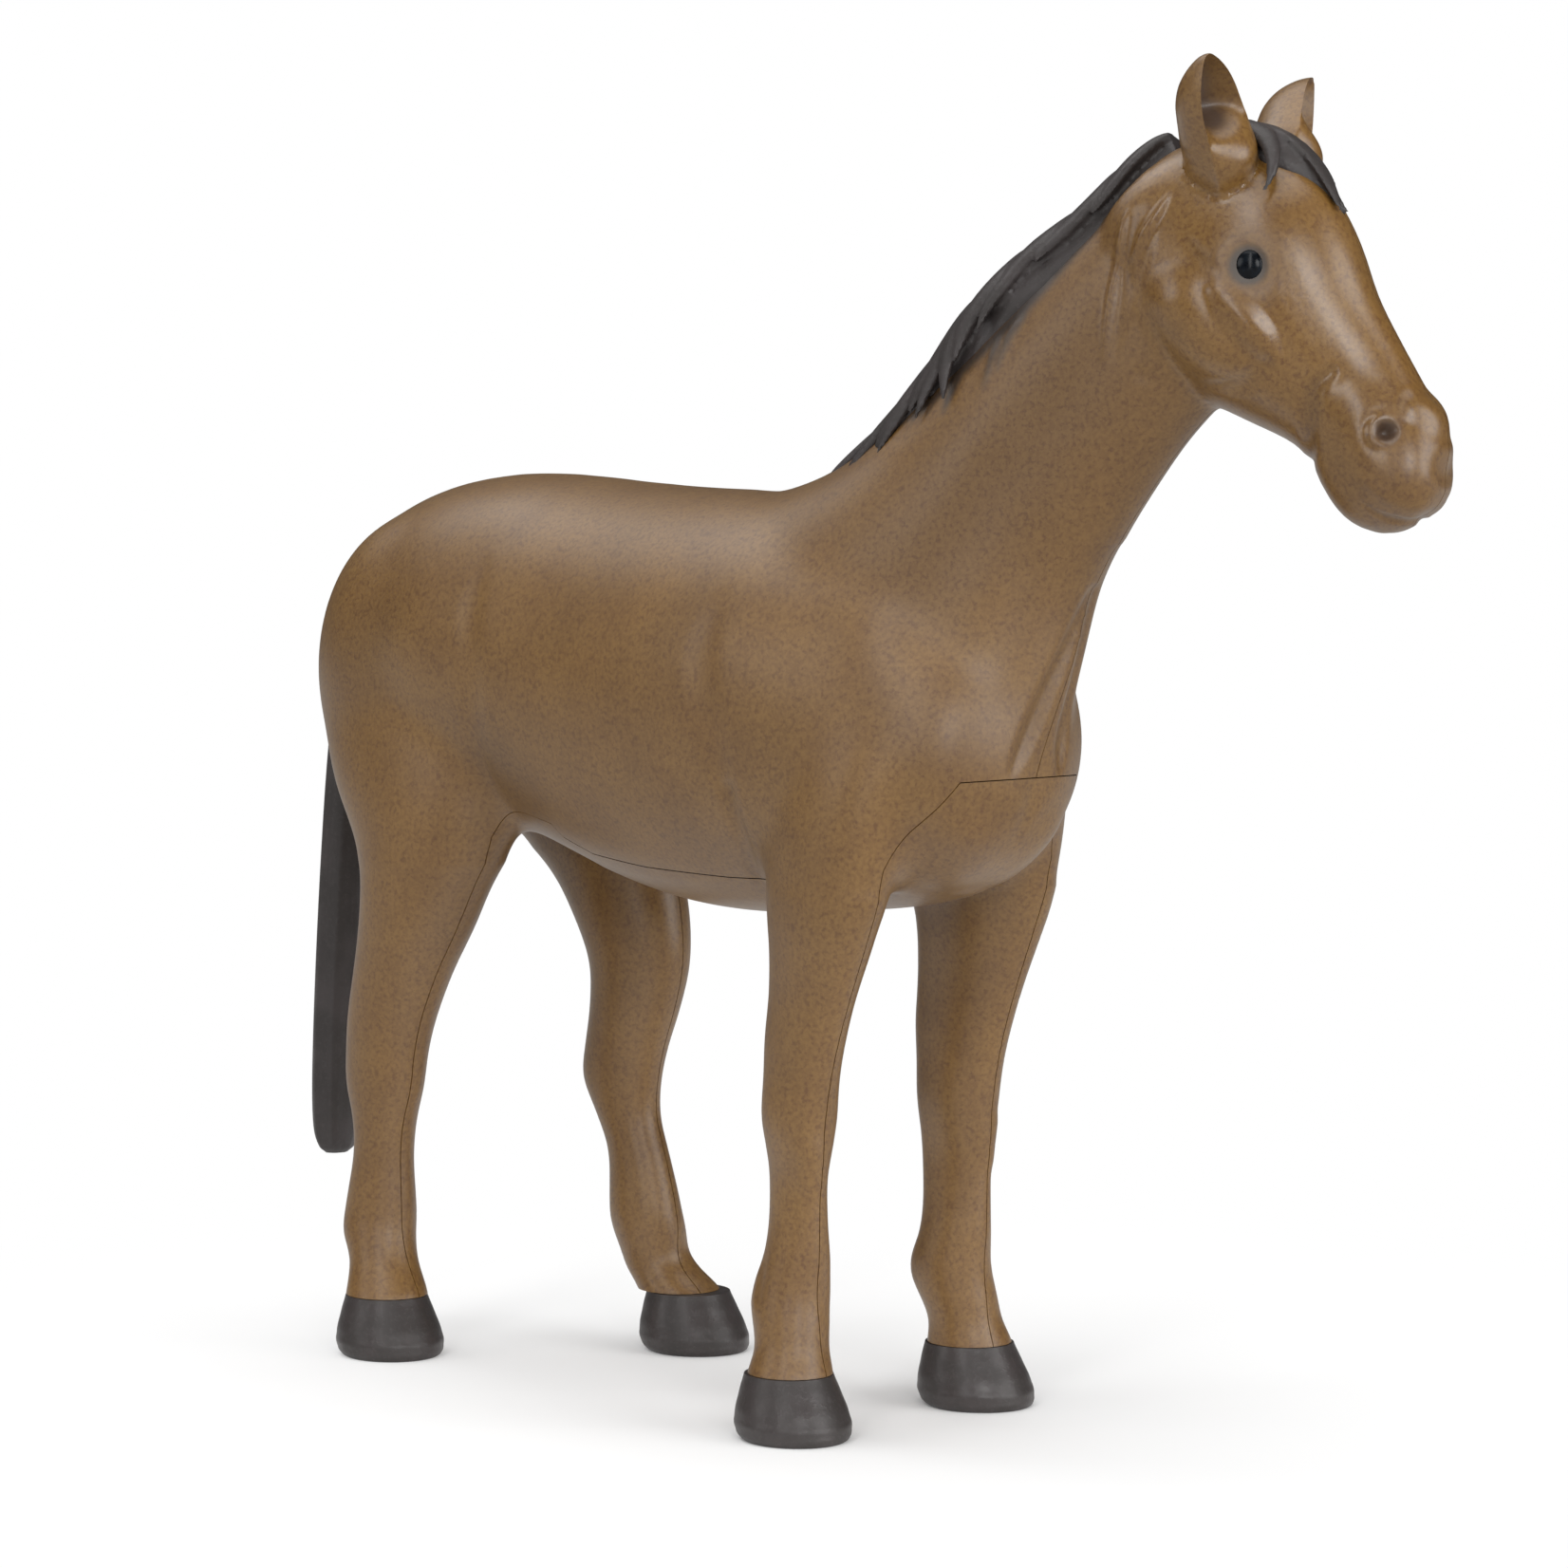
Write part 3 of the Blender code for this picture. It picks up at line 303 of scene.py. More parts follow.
# Carved lines in the order that they are cut, on the right side of the straight horse;
# the left side mirrors them. In millimetres: signed depth, then places and radii
STROKES = {
    "cheek": (0.8,
        (64.8, -7.4, 107.1, 4.6), (66, -7.4, 105, 5), (67.4, -7, 103, 4.4)),
    "cheek_rim": (-0.3,
        (61, -6.2, 101, 1.2), (65, -6, 99.2, 1.6), (70, -5.6, 99.8, 1.6),
        (73.5, -5.6, 102.5, 1.2)),
    "muzzle": (0.35,
        (81.6, -4.9, 97, 4), (82, -4.9, 93.6, 3.8)),
    "chin": (0.55,
        (79, -1.8, 91.6, 3.3), (80.2, -1.6, 89.2, 3.6), (82.6, -1.2, 87.6, 2.9)),
    "nose_tip": (0.55,
        (86.4, -2.4, 98.2, 2.2), (87.6, -1, 97.6, 2.6), (88, 0, 97.2, 2.6)),
    "nose_front": (-0.5,
        (87.4, -2.2, 92.8, 1.8), (88.2, -1, 92.4, 2.4), (88.4, 0, 92.2, 2.4)),
    "muzzle_rear": (-0.4,
        (79, -4.9, 101.2, 0.9), (77.4, -4.8, 99.5, 1.5), (77, -4.5, 97.1, 1.6),
        (76.8, -3.6, 95, 1.5), (76.2, -1.6, 93.4, 1.3), (76, 0, 93, 1.2)),
    "bridge_under": (-0.06,
        (75, -6.2, 110.5, 1.4), (76.6, -5.8, 107, 2.2), (78.6, -5.2, 103.4, 2.2),
        (80, -4.8, 100.6, 1.4)),
    "bridge": (0.04,
        (77.6, -3.8, 114, 1.6), (78.9, -3.3, 111.9, 2.4), (80.9, -2.7, 107.9, 2.5),
        (83.3, -2.2, 103.8, 2.5), (85.4, -2.2, 99.9, 1.8)),
    "eye_crease": (-0.1,
        (65.6, -6.8, 113.6, 0.5), (66.8, -7, 112.4, 0.9), (68, -7.1, 111.2, 1),
        (69, -7.2, 110.4, 0.6)),
    "face_crest": (0.6,
        (68.9, -7.8, 108.6, 1.2), (70.3, -7.7, 107.2, 2.1), (71.7, -7.4, 105.7, 2.3),
        (73, -7.1, 104.2, 2.1), (74.2, -6.6, 102.6, 1.2)),
    "jaw_fold_rear": (-0.12,
        (60.4, -6.2, 116, 0.8), (59.9, -6.4, 113.5, 1.2), (59.3, -6.5, 109.5, 1.3),
        (58.8, -6.8, 105.5, 1.2), (58.4, -6.8, 102.5, 0.7)),
    "jaw_fold_front": (-0.12,
        (62.2, -6.7, 114, 0.6), (61.4, -6.8, 111.6, 1), (60.6, -6.8, 109, 0.6)),
    "jaw_fold": (0.38,
        (59.4, -6.1, 116.6, 0.5), (58.8, -6.2, 114.3, 0.85), (58.2, -6.3, 110.1, 0.9),
        (57.7, -6.7, 106, 0.85), (57.3, -6.8, 102.6, 0.45)),
    "poll_fold": (0.38,
        (63.5, -6.3, 117.6, 0.5), (62.6, -6.6, 116.1, 0.9), (61.8, -6.7, 114.8, 0.95),
        (60.9, -6.7, 113.4, 0.8), (60, -6.4, 111.8, 0.4)),
    "upper_lip": (0.25,
        (82.4, -5, 91.6, 0.8), (84.6, -4, 89.9, 1.2), (86.6, -2, 89.4, 1.4),
        (87.2, 0, 89.3, 1.4)),
    "mouth": (-0.3,
        (82, -4.3, 89.4, 0.3), (83.6, -3.7, 88.3, 0.6), (85.2, -2.4, 87.7, 0.8),
        (86, -0.6, 87.6, 0.8), (86.1, 0, 87.6, 0.8)),
    "lock_tip_front": (0.25,
        (48.4, -4.6, 106.4, 0.6), (47.4, -5.4, 104.8, 0.9), (46.6, -6.2, 102, 0.5)),
    "lock_tip_rear": (0.3,
        (46, -5, 105.4, 0.7), (45.8, -5.8, 103.4, 1), (45.4, -6.4, 100.6, 0.5)),
    "neck_hollow": (-0.1,
        (50.5, -7.4, 84, 4), (49, -7.4, 92, 5), (50.5, -6.8, 100, 4)),
    "neck_band": (0.08,
        (40.9, -8.9, 87.9, 3.4), (42.8, -8.1, 91.9, 3.8), (45.3, -7.3, 96.4, 3)),
    "neck_groove": (-0.6,
        (53.4, -0.4, 81, 1), (52.7, -1.2, 77.6, 1.4), (51.3, -2.2, 72.3, 1.6),
        (50.2, -2.8, 67, 1.5), (50, -3.4, 64.4, 0.9)),
    "shoulder": (0.1,
        (33, -12, 82, 7.5), (36, -12.4, 76, 8)),
    "shoulder_rear": (-0.22,
        (21.6, -14.4, 81, 1.6), (20.8, -15.6, 74.6, 2.6), (22, -16.1, 69.2, 2.8),
        (22.9, -15.6, 64.6, 2.4), (23.5, -14.8, 61.8, 1.8)),
    "elbow": (-0.5,
        (23.5, -14.8, 61.8, 1.2), (23.4, -13.2, 56.2, 1.7), (22, -9.8, 52.6, 1.2)),
    "flank": (-0.2,
        (-13.4, -13.8, 84.5, 1), (-13.9, -15, 78.4, 2.4), (-13.2, -16, 70.8, 2.6),
        (-14.4, -14, 62.9, 2.4), (-13.6, -11.8, 57, 1.4)),
    "croup": (0.3,
        (-27, -9, 88, 8), (-18, -9, 88.6, 8)),
    "chest_bulge": (0.4,
        (46, -5, 57.5, 4.5), (44, -4, 53.5, 4)),
    "chest_middle": (-0.35,
        (52, 0, 70, 1), (51.6, 0, 65, 1.8), (49.6, 0, 58, 1.8), (46.4, 0, 52.6, 1)),
    "fore_knee": (0.25,
        (32.6, -12.4, 27.5, 2), (32.8, -12.2, 24.6, 2.2)),
    "fore_tendon": (-0.25,
        (27, -14, 21, 1), (27.2, -14.3, 16, 1.3), (27.6, -14.6, 12.6, 0.9)),
    "hind_hock": (0.25,
        (-39.8, -13.6, 32, 1.4), (-39.4, -13.8, 28, 1.8)),
}

# Nostril: place in millimetres, then radii of its rim and pit and their depths
NOSTRIL = (84.1, -4.1, 95.7)
NOSTRIL_FACING = (0.55, -0.8, 0.25)
NOSTRIL_RIM_RADIUS = 1.4
NOSTRIL_RIM_WIDTH = 0.6
NOSTRIL_RIM_RISE = 0.3
NOSTRIL_RING_RADIUS = 2.1
NOSTRIL_RING_WIDTH = 0.7
NOSTRIL_RING_DEPTH = 0.06
NOSTRIL_PIT_RADIUS = 1.15
NOSTRIL_PIT_DEPTH = 1.1

# Eyelids: radii of the rim and its hollow in millimetres
EYE_RIM_RADIUS = 2.15
EYE_RIM_WIDTH = 0.75
EYE_RIM_RISE = 0.1
EYE_SOCKET_RADIUS = 3.4
EYE_SOCKET_DEPTH = 0.4

# Painted marks, in millimetres and shares
LID_REACH = 2.65
LID_FADE = 0.5
# Around each eye the coat is rougher and carries painted shade
DULL_REACH = 4.9
DULL_FADE = 2.6
EYE_SHADE = 0.6
# Painted shade in the nostrils and along the mouth groove
NOSTRIL_DARK_REACH = 1.7
NOSTRIL_DARK_FADE = 0.9
MOUTH_DARKNESS = 0.2
SHEEN = (
    (69, -7, 114, 17), (74, -6, 106, 16), (83, -4, 98, 13),
)
# Painted shade in the ears' hollows
EAR_DARK_ROOT = 3.4
EAR_DARK_TIP = 2.0
EAR_DARKNESS = 1.8
WELD = 0.01 * MM

# Dark spray on the coat beside the mane's lower locks, in millimetres
MANE_SPRAY = (
    ((34.7, -4.2, 96.6, 0.8), (37.2, -4.6, 97.9, 1.2), (39.3, -4.9, 99.3, 1.3),
     (41.9, -4.9, 101.8, 1.5), (44.6, -5.0, 104.2, 1.6), (47.4, -4.8, 106.6, 1.6),
     (51.3, -4.2, 110.5, 1.4), (55.5, -3.4, 115.2, 1.2), (60.0, -3.0, 118.8, 0.8)),
    ((48.6, -4.6, 106.6, 1.2), (47.4, -5.4, 104.8, 1.0), (46.6, -6.2, 101.8, 0.5)),
    ((46.2, -5.0, 105.4, 1.3), (45.8, -5.8, 103.4, 1.1), (45.4, -6.5, 100.2, 0.5)),
    ((42.0, -5.0, 102.0, 1.2), (41.4, -5.6, 99.6, 1.0), (41.0, -6.2, 97.6, 0.5)),
    ((39.4, -5.0, 99.6, 1.0), (38.8, -5.6, 97.4, 0.5)),
    ((37.4, -4.6, 98.0, 0.9), (36.8, -5.2, 96.2, 0.4)),
)

# Lines along which the coat is painted darker, as painted shade along the neck and on the
# thigh
NECK_SHADE = (
    (40, -8, 84, 10), (48, -7.5, 93, 12), (55, -7, 103, 11), (57, -6, 113, 7),
)
THIGH_SHADE = (
    (-12, -14, 62, 7), (-12, -13, 48, 7),
)
# Carved grooves whose coat is painted darker, as painted shade in the creases
SHADED_STROKES = ("jaw_fold_rear", "eye_crease", "muzzle_rear", "elbow", "neck_groove")

# Stage: camera as fitted to the photograph, with its target on the straight horse
CAMERA_TARGET = (16.0, 0.0, 61.2)
CAMERA_DISTANCE = 0.48
CAMERA_AZIMUTH = math.radians(46.5)
CAMERA_ELEVATION = math.radians(3.72)
CAMERA_LENS = 110.88
FLOOR_RADIUS = 3.0
FLOOR_BOUNCE = 0.55
FLOOR_FADE_END = 0.13
LAMP_AIM = (0, 0, 0.07)
WHITE = (1, 1, 1, 1)
LAMPS = (
    ("top_lamp", (-0.2, -0.1, 1.6), (2.2, 2.2), 18.5, 0.04),
    ("tall_lamp", (0.33, -0.9, 0.62), (0.2, 1.3), 2.9, 1.0),
    ("side_lamp", (-0.48, -1.0, 0.45), (0.5, 0.5), 1.4, 1.0),
    ("face_lamp", (0.95, -0.56, 0.42), (0.5, 0.5), 3.4, 1.0),
    ("nose_lamp", (1.02, 0.28, 0.35), (0.9, 0.9), 6.4, 0.9),
    ("rear_lamp", (-0.75, -0.2, 0.85), (0.6, 0.6), 1.3, 0.4),
)
WORLD_LIGHT = 0.38
WORLD_GLOSS = 0.06

# Places of the mane's locks on one side: start along the crest from poll to withers and
# start aside, end along and end aside, width and thickness. Along is a share of the
# crest's length, the rest is in millimetres
MANE_LOCKS = (
    (0, 0.6, 0.2, 3.9, 4, 1.5), (0.1, 0.5, 0.34, 4.3, 4.4, 1.7),
    (0.22, 0.4, 0.46, 4.6, 4.6, 1.8), (0.34, 0.4, 0.6, 5.6, 4.8, 1.9),
    (0.44, 0.5, 0.66, 6.6, 3.6, 1.6), (0.47, 0.3, 0.74, 5, 4.6, 1.9),
    (0.6, 0.3, 0.84, 4.9, 4.2, 1.8), (0.7, 0.3, 0.9, 4.6, 3.6, 1.6),
    (0.8, 0.2, 0.99, 3.4, 3.2, 1.4), (0.3, 2.6, 0.52, 5.6, 2.4, 1.2),
    (0.54, 2.8, 0.73, 6, 2.2, 1.2), (0.66, 2.6, 0.84, 5.6, 2, 1.1),
    (0.76, 2.2, 0.93, 4.8, 1.8, 1),
)
MANE_SHIFT = 0.035

# Locks of the forelock: start along the forehead and aside, end along and aside, width
# and thickness, laid out as for the mane. Aside is positive to the left
FORELOCK_LOCKS = (
    (0.02, 1.4, 1, -1.4, 3.6, 1), (0.04, 2.8, 0.86, 0.6, 2.4, 0.9),
    (0, 0.6, 0.72, -6, 2.6, 1.3), (0.04, 3.2, 0.6, 4.4, 2.6, 1),
)

# Widths and thicknesses along a lock, from its root to its tip, as shares
LOCK_SHARES = (
    (0, 0.35, 0.45), (0.15, 0.8, 0.95), (0.4, 1, 1), (0.65, 0.85, 0.85), (0.85, 0.5, 0.6),
    (1, 0.14, 0.2),
)


def linear(code):
    """An sRGB hex colour as linear red, green and blue."""
    shares = [int(code[place:place + 2], 16) / 255 for place in (1, 3, 5)]
    return tuple(share / 12.92 if share <= 0.04045 else ((share + 0.055) / 1.055) ** 2.4
                 for share in shares)


def length(label, value, note):
    """A setting in metres."""
    return FloatProperty(name=label, default=value, unit="LENGTH", description=note)


def paint_colour(label, code, note):
    """A colour setting that starts from an sRGB hex code."""
    return FloatVectorProperty(name=label, subtype="COLOR", size=3, description=note,
                               default=linear(code))


class HorseSizes(bpy.types.PropertyGroup):
    """Sizes of the horse that a user would change."""
    body_length: length("Body length", 0.099, "Trunk from rump to chest")
    body_width: length("Body width", 0.033, "Trunk at its widest")
    body_rear: length("Rump place", -0.049, "Where the rump ends behind the middle")
    back_height: length("Back height", 0.092, "Floor to the croup")
    neck_width: length("Neck width", 0.025, "Scale of the neck's half widths")
    neck_turn: FloatProperty(name="Neck turn", default=math.radians(19), subtype="ANGLE",
                             description="Turn of the head to the horse's left")
    head_length: length("Head length", 0.042, "Scale of the head from poll to lips")
    head_width: length("Head width", 0.0146, "Scale of the head's half widths")
    leg_size: length("Leg size", 0.01, "Scale of the legs' depths and widths")
    hoof_length: length("Hoof length", 0.0126, "Toe to heel")
    hoof_width: length("Hoof width", 0.0116, "Across the sole")
    hoof_height: length("Hoof height", 0.0062, "Sole to coronet")
    eye_radius: length("Eye radius", 0.0018, "Radius of the glossy beads")
    tail_length: length("Tail length", 0.061, "Root to tip")
    skin_step: length("Skin step", 0.0005, "Fineness of the moulded skin")
    wall: length("Wall", 0.0021, "Thickness of the moulded walls")
    seam: length("Seam", 0.0001, "Width of the joints between the mouldings")
    fit: length("Fit", 0.00005, "Room around each pressed-in piece")
    smoothing: IntProperty(name="Smoothing", default=14, min=0,
                           description="Smoothing steps of the fused skin")


class HorseColours(bpy.types.PropertyGroup):
    """Colours of the horse's plastics and paints, kept as linear values."""
    coat: paint_colour("Coat", "#7e5c29", "Sprayed brown")
    # The deep colour is also the painted shade in creases, around the eyes, along the neck and
    # on the thigh
    coat_deep_and_shade: paint_colour("Coat, deep", "#6d4e22", "Orange brown where the spray is thick")
    speck: paint_colour("Specks", "#dccfba", "Fine dark spray specks")
    # Painted shade in the nostrils, the ear hollows and the mouth groove
    pit: paint_colour("Hollows", "#4a3524", "Nostrils and ears inside")
    lid: paint_colour("Eyelids", "#463b31", "Grey brown ring around the eyes")
    trim: paint_colour("Mane and hooves", "#322d2b", "Dark grey brown plastic")
    trim_pale: paint_colour("Mane and hooves, pale", "#474040",
                            "Dusty patches of the dark plastic")
    eye: paint_colour("Eye", "#08080a", "Glossy black plastic")
    eye_pale: paint_colour("Eye, pale", "#1c2630", "Blue black haze in the beads")
    floor: paint_colour("Floor", "#f8f8f8", "Pale studio floor")


def sizes():
    """The sizes that the user set."""
    return bpy.context.scene.horse_sizes


def colours():
    """The colours that the user set."""
    return bpy.context.scene.horse_colours


def unit(vector):
    """The same direction with length one."""
    return vector / np.linalg.norm(vector)


def smooth_rows(rows, steps=2):
    """Points on a smooth curve through each row of a table."""
    table = np.array(rows, dtype=float)
    first = 2 * table[0] - table[1]
    last = 2 * table[-1] - table[-2]
    padded = np.vstack((first, table, last))
    result = []
    for index in range(len(table) - 1):
        before, start, end, after = padded[index:index + 4]
        for step in range(steps):
            t = step / steps
            bend = (2 * before - 5 * start + 4 * end - after) * t ** 2
            twist = (3 * start - before - 3 * end + after) * t ** 3
            result.append((2 * start + (end - before) * t + bend + twist) / 2)
    result.append(table[-1])
    return result


def side_origin():
    """The forward place from which the neck's shares count."""
    size = sizes()
    return size.body_rear + size.body_length - CHEST_SHARE * size.back_height


def side_point(forward, up):
    """A place on the middle plane, in shares of the back height."""
    height = sizes().back_height
    return FORWARD * (side_origin() + forward * height) + UP * up * height


def head_point(along, rise):
    """A place on the middle plane along the head and towards its face, in shares."""
    down = FORWARD * math.cos(HEAD_SLOPE) - UP * math.sin(HEAD_SLOPE)
    face = FORWARD * math.sin(HEAD_SLOPE) + UP * math.cos(HEAD_SLOPE)
    origin = side_point(HEAD_FORWARD_SHARE, HEAD_HEIGHT_SHARE)
    return origin + (down * along + face * rise) * sizes().head_length


def ring(centre, rise_axis, rise, half_width, drop=None, under=None, side_axis=LEFT,
         sides=RING_SIDES):
    """Points around one section. An under value bends the lower half into a saddle."""
    angles = np.arange(sides) * 2 * math.pi / sides
    height = np.sin(angles)
    below = (rise if drop is None else drop) * height if under is None else under * height ** 2
    height = np.where(height >= 0, rise * height, below)
    across = half_width * np.cos(angles)
    return centre + np.outer(across, side_axis) + np.outer(height, rise_axis)


def select_only(items):
    """Select these objects and make the first one active."""
    bpy.ops.object.select_all(action="DESELECT")
    for item in items:
        item.select_set(True)
    bpy.context.view_layer.objects.active = items[0]


def edit(item, kind, chosen, action, **settings):
    """Run one edit-mode operator on the chosen points or faces of a mesh."""
    select_only([item])
    bpy.ops.object.mode_set(mode="EDIT")
    bpy.ops.mesh.select_mode(type=kind)
    bpy.ops.mesh.select_all(action="SELECT" if chosen is None else "DESELECT")
    if chosen is not None:
        bpy.ops.object.mode_set(mode="OBJECT")
        elements = item.data.vertices if kind == "VERT" else item.data.polygons
        elements.foreach_set("select", chosen)
        bpy.ops.object.mode_set(mode="EDIT")
    action(**settings)
    bpy.ops.object.mode_set(mode="OBJECT")


def neighbour_run(points, index):
    """From the point before one on a line to the point after it."""
    return points[min(len(points) - 1, index + 1)] - points[max(0, index - 1)]


def loft(name, rings):
    """A closed body through a row of rings, from a cylinder cut into as many bands."""
    count = len(rings)
    side_count = len(rings[0])
    bpy.ops.object.select_all(action="DESELECT")
    bpy.ops.mesh.primitive_cylinder_add(vertices=side_count, radius=1, depth=2)
    item = bpy.context.object
    item.name = name
    bpy.ops.object.mode_set(mode="EDIT")
    bpy.ops.mesh.select_mode(type="EDGE")
    bpy.ops.mesh.select_all(action="DESELECT")
    bm = bmesh.from_edit_mesh(item.data)
    for edge in bm.edges:
        edge.select_set(abs(edge.verts[0].co.z - edge.verts[1].co.z) > 1)
    bmesh.update_edit_mesh(item.data)
    bpy.ops.mesh.subdivide(number_cuts=count - 2)
    bpy.ops.object.mode_set(mode="OBJECT")
    points = read_points(item)
    rows = np.rint((points[:, 2] + 1) / 2 * (count - 1)).astype(int)
    turns = np.arctan2(points[:, 1], points[:, 0]) / (2 * math.pi) * side_count
    columns = np.rint(turns).astype(int) % side_count
    write_points(item, np.array(rings)[rows, columns])
    edit(item, "FACE", None, bpy.ops.mesh.normals_make_consistent, inside=False)
    return item


def read_rows(values, key):
    """One vector an element of a mesh, as rows."""
    rows = np.empty(len(values) * 3)
    values.foreach_get(key, rows)
    return rows.reshape(-1, 3)


def read_points(item):
    """All points of a mesh as rows."""
    return read_rows(item.data.vertices, "co")


def write_points(item, points):
    """Put new places into a mesh."""
    item.data.vertices.foreach_set("co", np.ascontiguousarray(points).ravel())
    item.data.update()


def read_normals(item):
    """The outward direction at every point of a mesh."""
    return read_rows(item.data.vertex_normals, "vector")


def join_items(name, items):
    """One object that holds the bodies of several."""
    select_only(items)
    bpy.ops.object.join()
    item = bpy.context.object
    item.name = name
    return item


def apply_modifier(item, kind, settings):
    """Add one modifier with its settings and apply it."""
    select_only([item])
    modifier = item.modifiers.new(kind.lower(), kind)
    for name, value in settings.items():
        setattr(modifier, name, value)
    bpy.ops.object.modifier_apply(modifier=modifier.name)


def melt(item, voxel, smoothing):
    """Fuse overlapping bodies into one smooth skin."""
    apply_modifier(item, "REMESH", {"mode": "VOXEL", "voxel_size": voxel})
    apply_modifier(item, "SMOOTH", {"factor": 0.5, "iterations": smoothing})
    return item


def boolean(item, operation, *tools):
    """Cut, join or intersect an object with closed tool objects."""
    for tool in tools:
        apply_modifier(item, "BOOLEAN", {"object": tool, "operation": operation,
                                         "solver": "MANIFOLD"})


def use_up(item, operation, *tools):
    """Cut or join an object with tools that are then removed."""
    boolean(item, operation, *tools)
    remove_items(tools)


def remove_items(items):
    """Delete objects that were only tools."""
    for item in items:
        bpy.data.objects.remove(item, do_unlink=True)


def add_object(name, data):
    """A new object in the scene."""
    item = bpy.data.objects.new(name, data)
    bpy.context.scene.collection.objects.link(item)
    return item


def block(low, high):
    """A box between two corners, as a tool."""
    bpy.ops.object.select_all(action="DESELECT")
    bpy.ops.mesh.primitive_cube_add(size=1)
    item = bpy.context.object
    low, high = np.array((low, high))
    write_points(item, (low + high) / 2 + read_points(item) * (high - low))
    return item


def bar(start, end, radius):
    """A round bar from one point to another."""
    run = Vector(end - start)
    turn = run.to_track_quat("Z", "Y")
    across = np.array(turn @ Vector(FORWARD))
    rise = np.array(turn @ Vector(LEFT))
    return loft("bar", [ring(place, rise, radius, radius, side_axis=across, sides=BAR_SIDES)
                        for place in (start, (start + end) / 2, end)])


def tapered_prism(outline, half_width):
    """An outline in the side view, thickened to both sides, leaning in above the belly."""
    start = INSERT_LEAN_START * sizes().back_height
    bm = bmesh.new()
    verts = [bm.verts.new((forward, -half_width, up)) for forward, up in outline]
    face = bm.faces.new(verts)
    made = bmesh.ops.extrude_face_region(bm, geom=[face])
    moved = [part for part in made["geom"] if isinstance(part, bmesh.types.BMVert)]
    bmesh.ops.translate(bm, verts=moved, vec=Vector(LEFT) * 2 * half_width)
    bmesh.ops.recalc_face_normals(bm, faces=bm.faces)
    everything = bm.verts[:] + bm.edges[:] + bm.faces[:]
    bmesh.ops.bisect_plane(bm, geom=everything, plane_co=(0, 0, start), plane_no=UP)
    for vert in bm.verts:
        rise = max(vert.co.z - start, 0)
        vert.co.y *= 1 - min(rise * INSERT_LEAN, rise and half_width) / half_width
    bmesh.ops.recalc_face_normals(bm, faces=bm.faces)
    mesh = bpy.data.meshes.new("wedge")
    bm.to_mesh(mesh)
    bm.free()
    return add_object("wedge", mesh)


def torso_rings(inset):
    """Sections of the trunk, each square to the body's length."""
    size = sizes()
    rings = []
    for along, top, floor, width in smooth_rows(TORSO_SHARES, BODY_STEPS):
        half_height = (top - floor) * size.back_height / 2 - inset
        half_width = width * size.body_width - inset
        reach = min(along, 1 - along) * size.body_length
        if reach >= inset and min(half_height, half_width) > inset / 2:
            centre = FORWARD * (size.body_rear + along * size.body_length)
            centre = centre + UP * (top + floor) * size.back_height / 2
            rings.append(ring(centre, UP, half_height, half_width))
    return rings


def neck_rings(inset):
    """Sections of the neck, each from a crest point to a throat point."""
    rings = []
    for row in smooth_rows(NECK_SHARES, BODY_STEPS):
        crest = side_point(row[0], row[1])
        throat = side_point(row[2], row[3])
        rise_axis = unit(crest - throat)
        crest = crest - rise_axis * inset * CREST_WALLS
        throat = throat + rise_axis * inset
        half_height = np.linalg.norm(crest - throat) / 2
        half_width = row[4] * sizes().neck_width - inset
        rings.append(ring((crest + throat) / 2, rise_axis, half_height, half_width))
    return rings


def head_rings(inset):
    """Sections of the head, square to a line from poll to lips."""
    size = sizes()
    face_axis = unit(head_point(0, 1) - head_point(0, 0))
    rings = []
    for along, rise, drop, width in smooth_rows(HEAD_SHARES, BODY_STEPS):
        half_width = width * size.head_width - inset
        rise = rise * size.head_length - inset
        drop = drop * size.head_length - inset
        if min(half_width, rise, drop) > inset / 2:
            rings.append(ring(head_point(along, 0), face_axis, rise, half_width, drop))
    return rings


def leg_top():
    """Height at which the legs' tables count as one."""
    return LEG_TOP_SHARE * sizes().back_height


def leg_spread(height):
    """Distance of a leg's middle from the body's middle at some height."""
    heights, spreads = zip(*SPREAD_SHARES)
    spread = LEG_SPREAD_SHARE * sizes().body_width
    return float(np.interp(height / leg_top(), heights, spreads)) * spread


def leg_places():
    """Name, table, forward place, side and turn of each leg."""
    size = sizes()
    fore = size.body_rear + FORE_PLACE_SHARE * size.body_length
    hind = size.body_rear + HIND_PLACE_SHARE * size.body_length
    places = []
    for name, side in SIDES.items():
        shift = 1 if side < 0 else 2
        hind_rows = [(row[0], row[shift], row[3], row[4]) for row in HIND_SHARES]
        places.append((name + "_fore_hoof", FORE_SHARES, fore, side, HOOF_TURN))
        places.append((name + "_hind_hoof", hind_rows, hind, side, 0))
    return places


def turned_axes(angle):
    """Forward and left directions after a turn about the upright."""
    forward = FORWARD * math.cos(angle) + LEFT * math.sin(angle)
    left = LEFT * math.cos(angle) - FORWARD * math.sin(angle)
    return forward, left


def leg_rings(rows, place, side, turn, inset):
    """Level sections of one leg. Inside the plastic only the upper leg is hollow."""
    size = sizes().leg_size
    forward, left = turned_axes(side * turn)
    rings = []
    for height, shift, depth, width in smooth_rows(rows, BODY_STEPS):
        if inset and height < LEG_HOLLOW_SHARE:
            continue
        centre = FORWARD * (place + shift * size) + UP * height * leg_top()
        centre = centre + LEFT * side * leg_spread(height * leg_top())
        rings.append(ring(centre, forward, depth * size - inset, width * size - inset,
                          side_axis=left))
    return rings


def muscle_rings(centre, reach):
    """Sections of a round mass with three half sizes."""
    rings = []
    for angle in np.linspace(MUSCLE_POLE, math.pi - MUSCLE_POLE, 24):
        middle = centre - FORWARD * reach[0] * math.cos(angle)
        spread = math.sin(angle)
        rings.append(ring(middle, UP, reach[2] * spread, reach[1] * spread))
    return rings


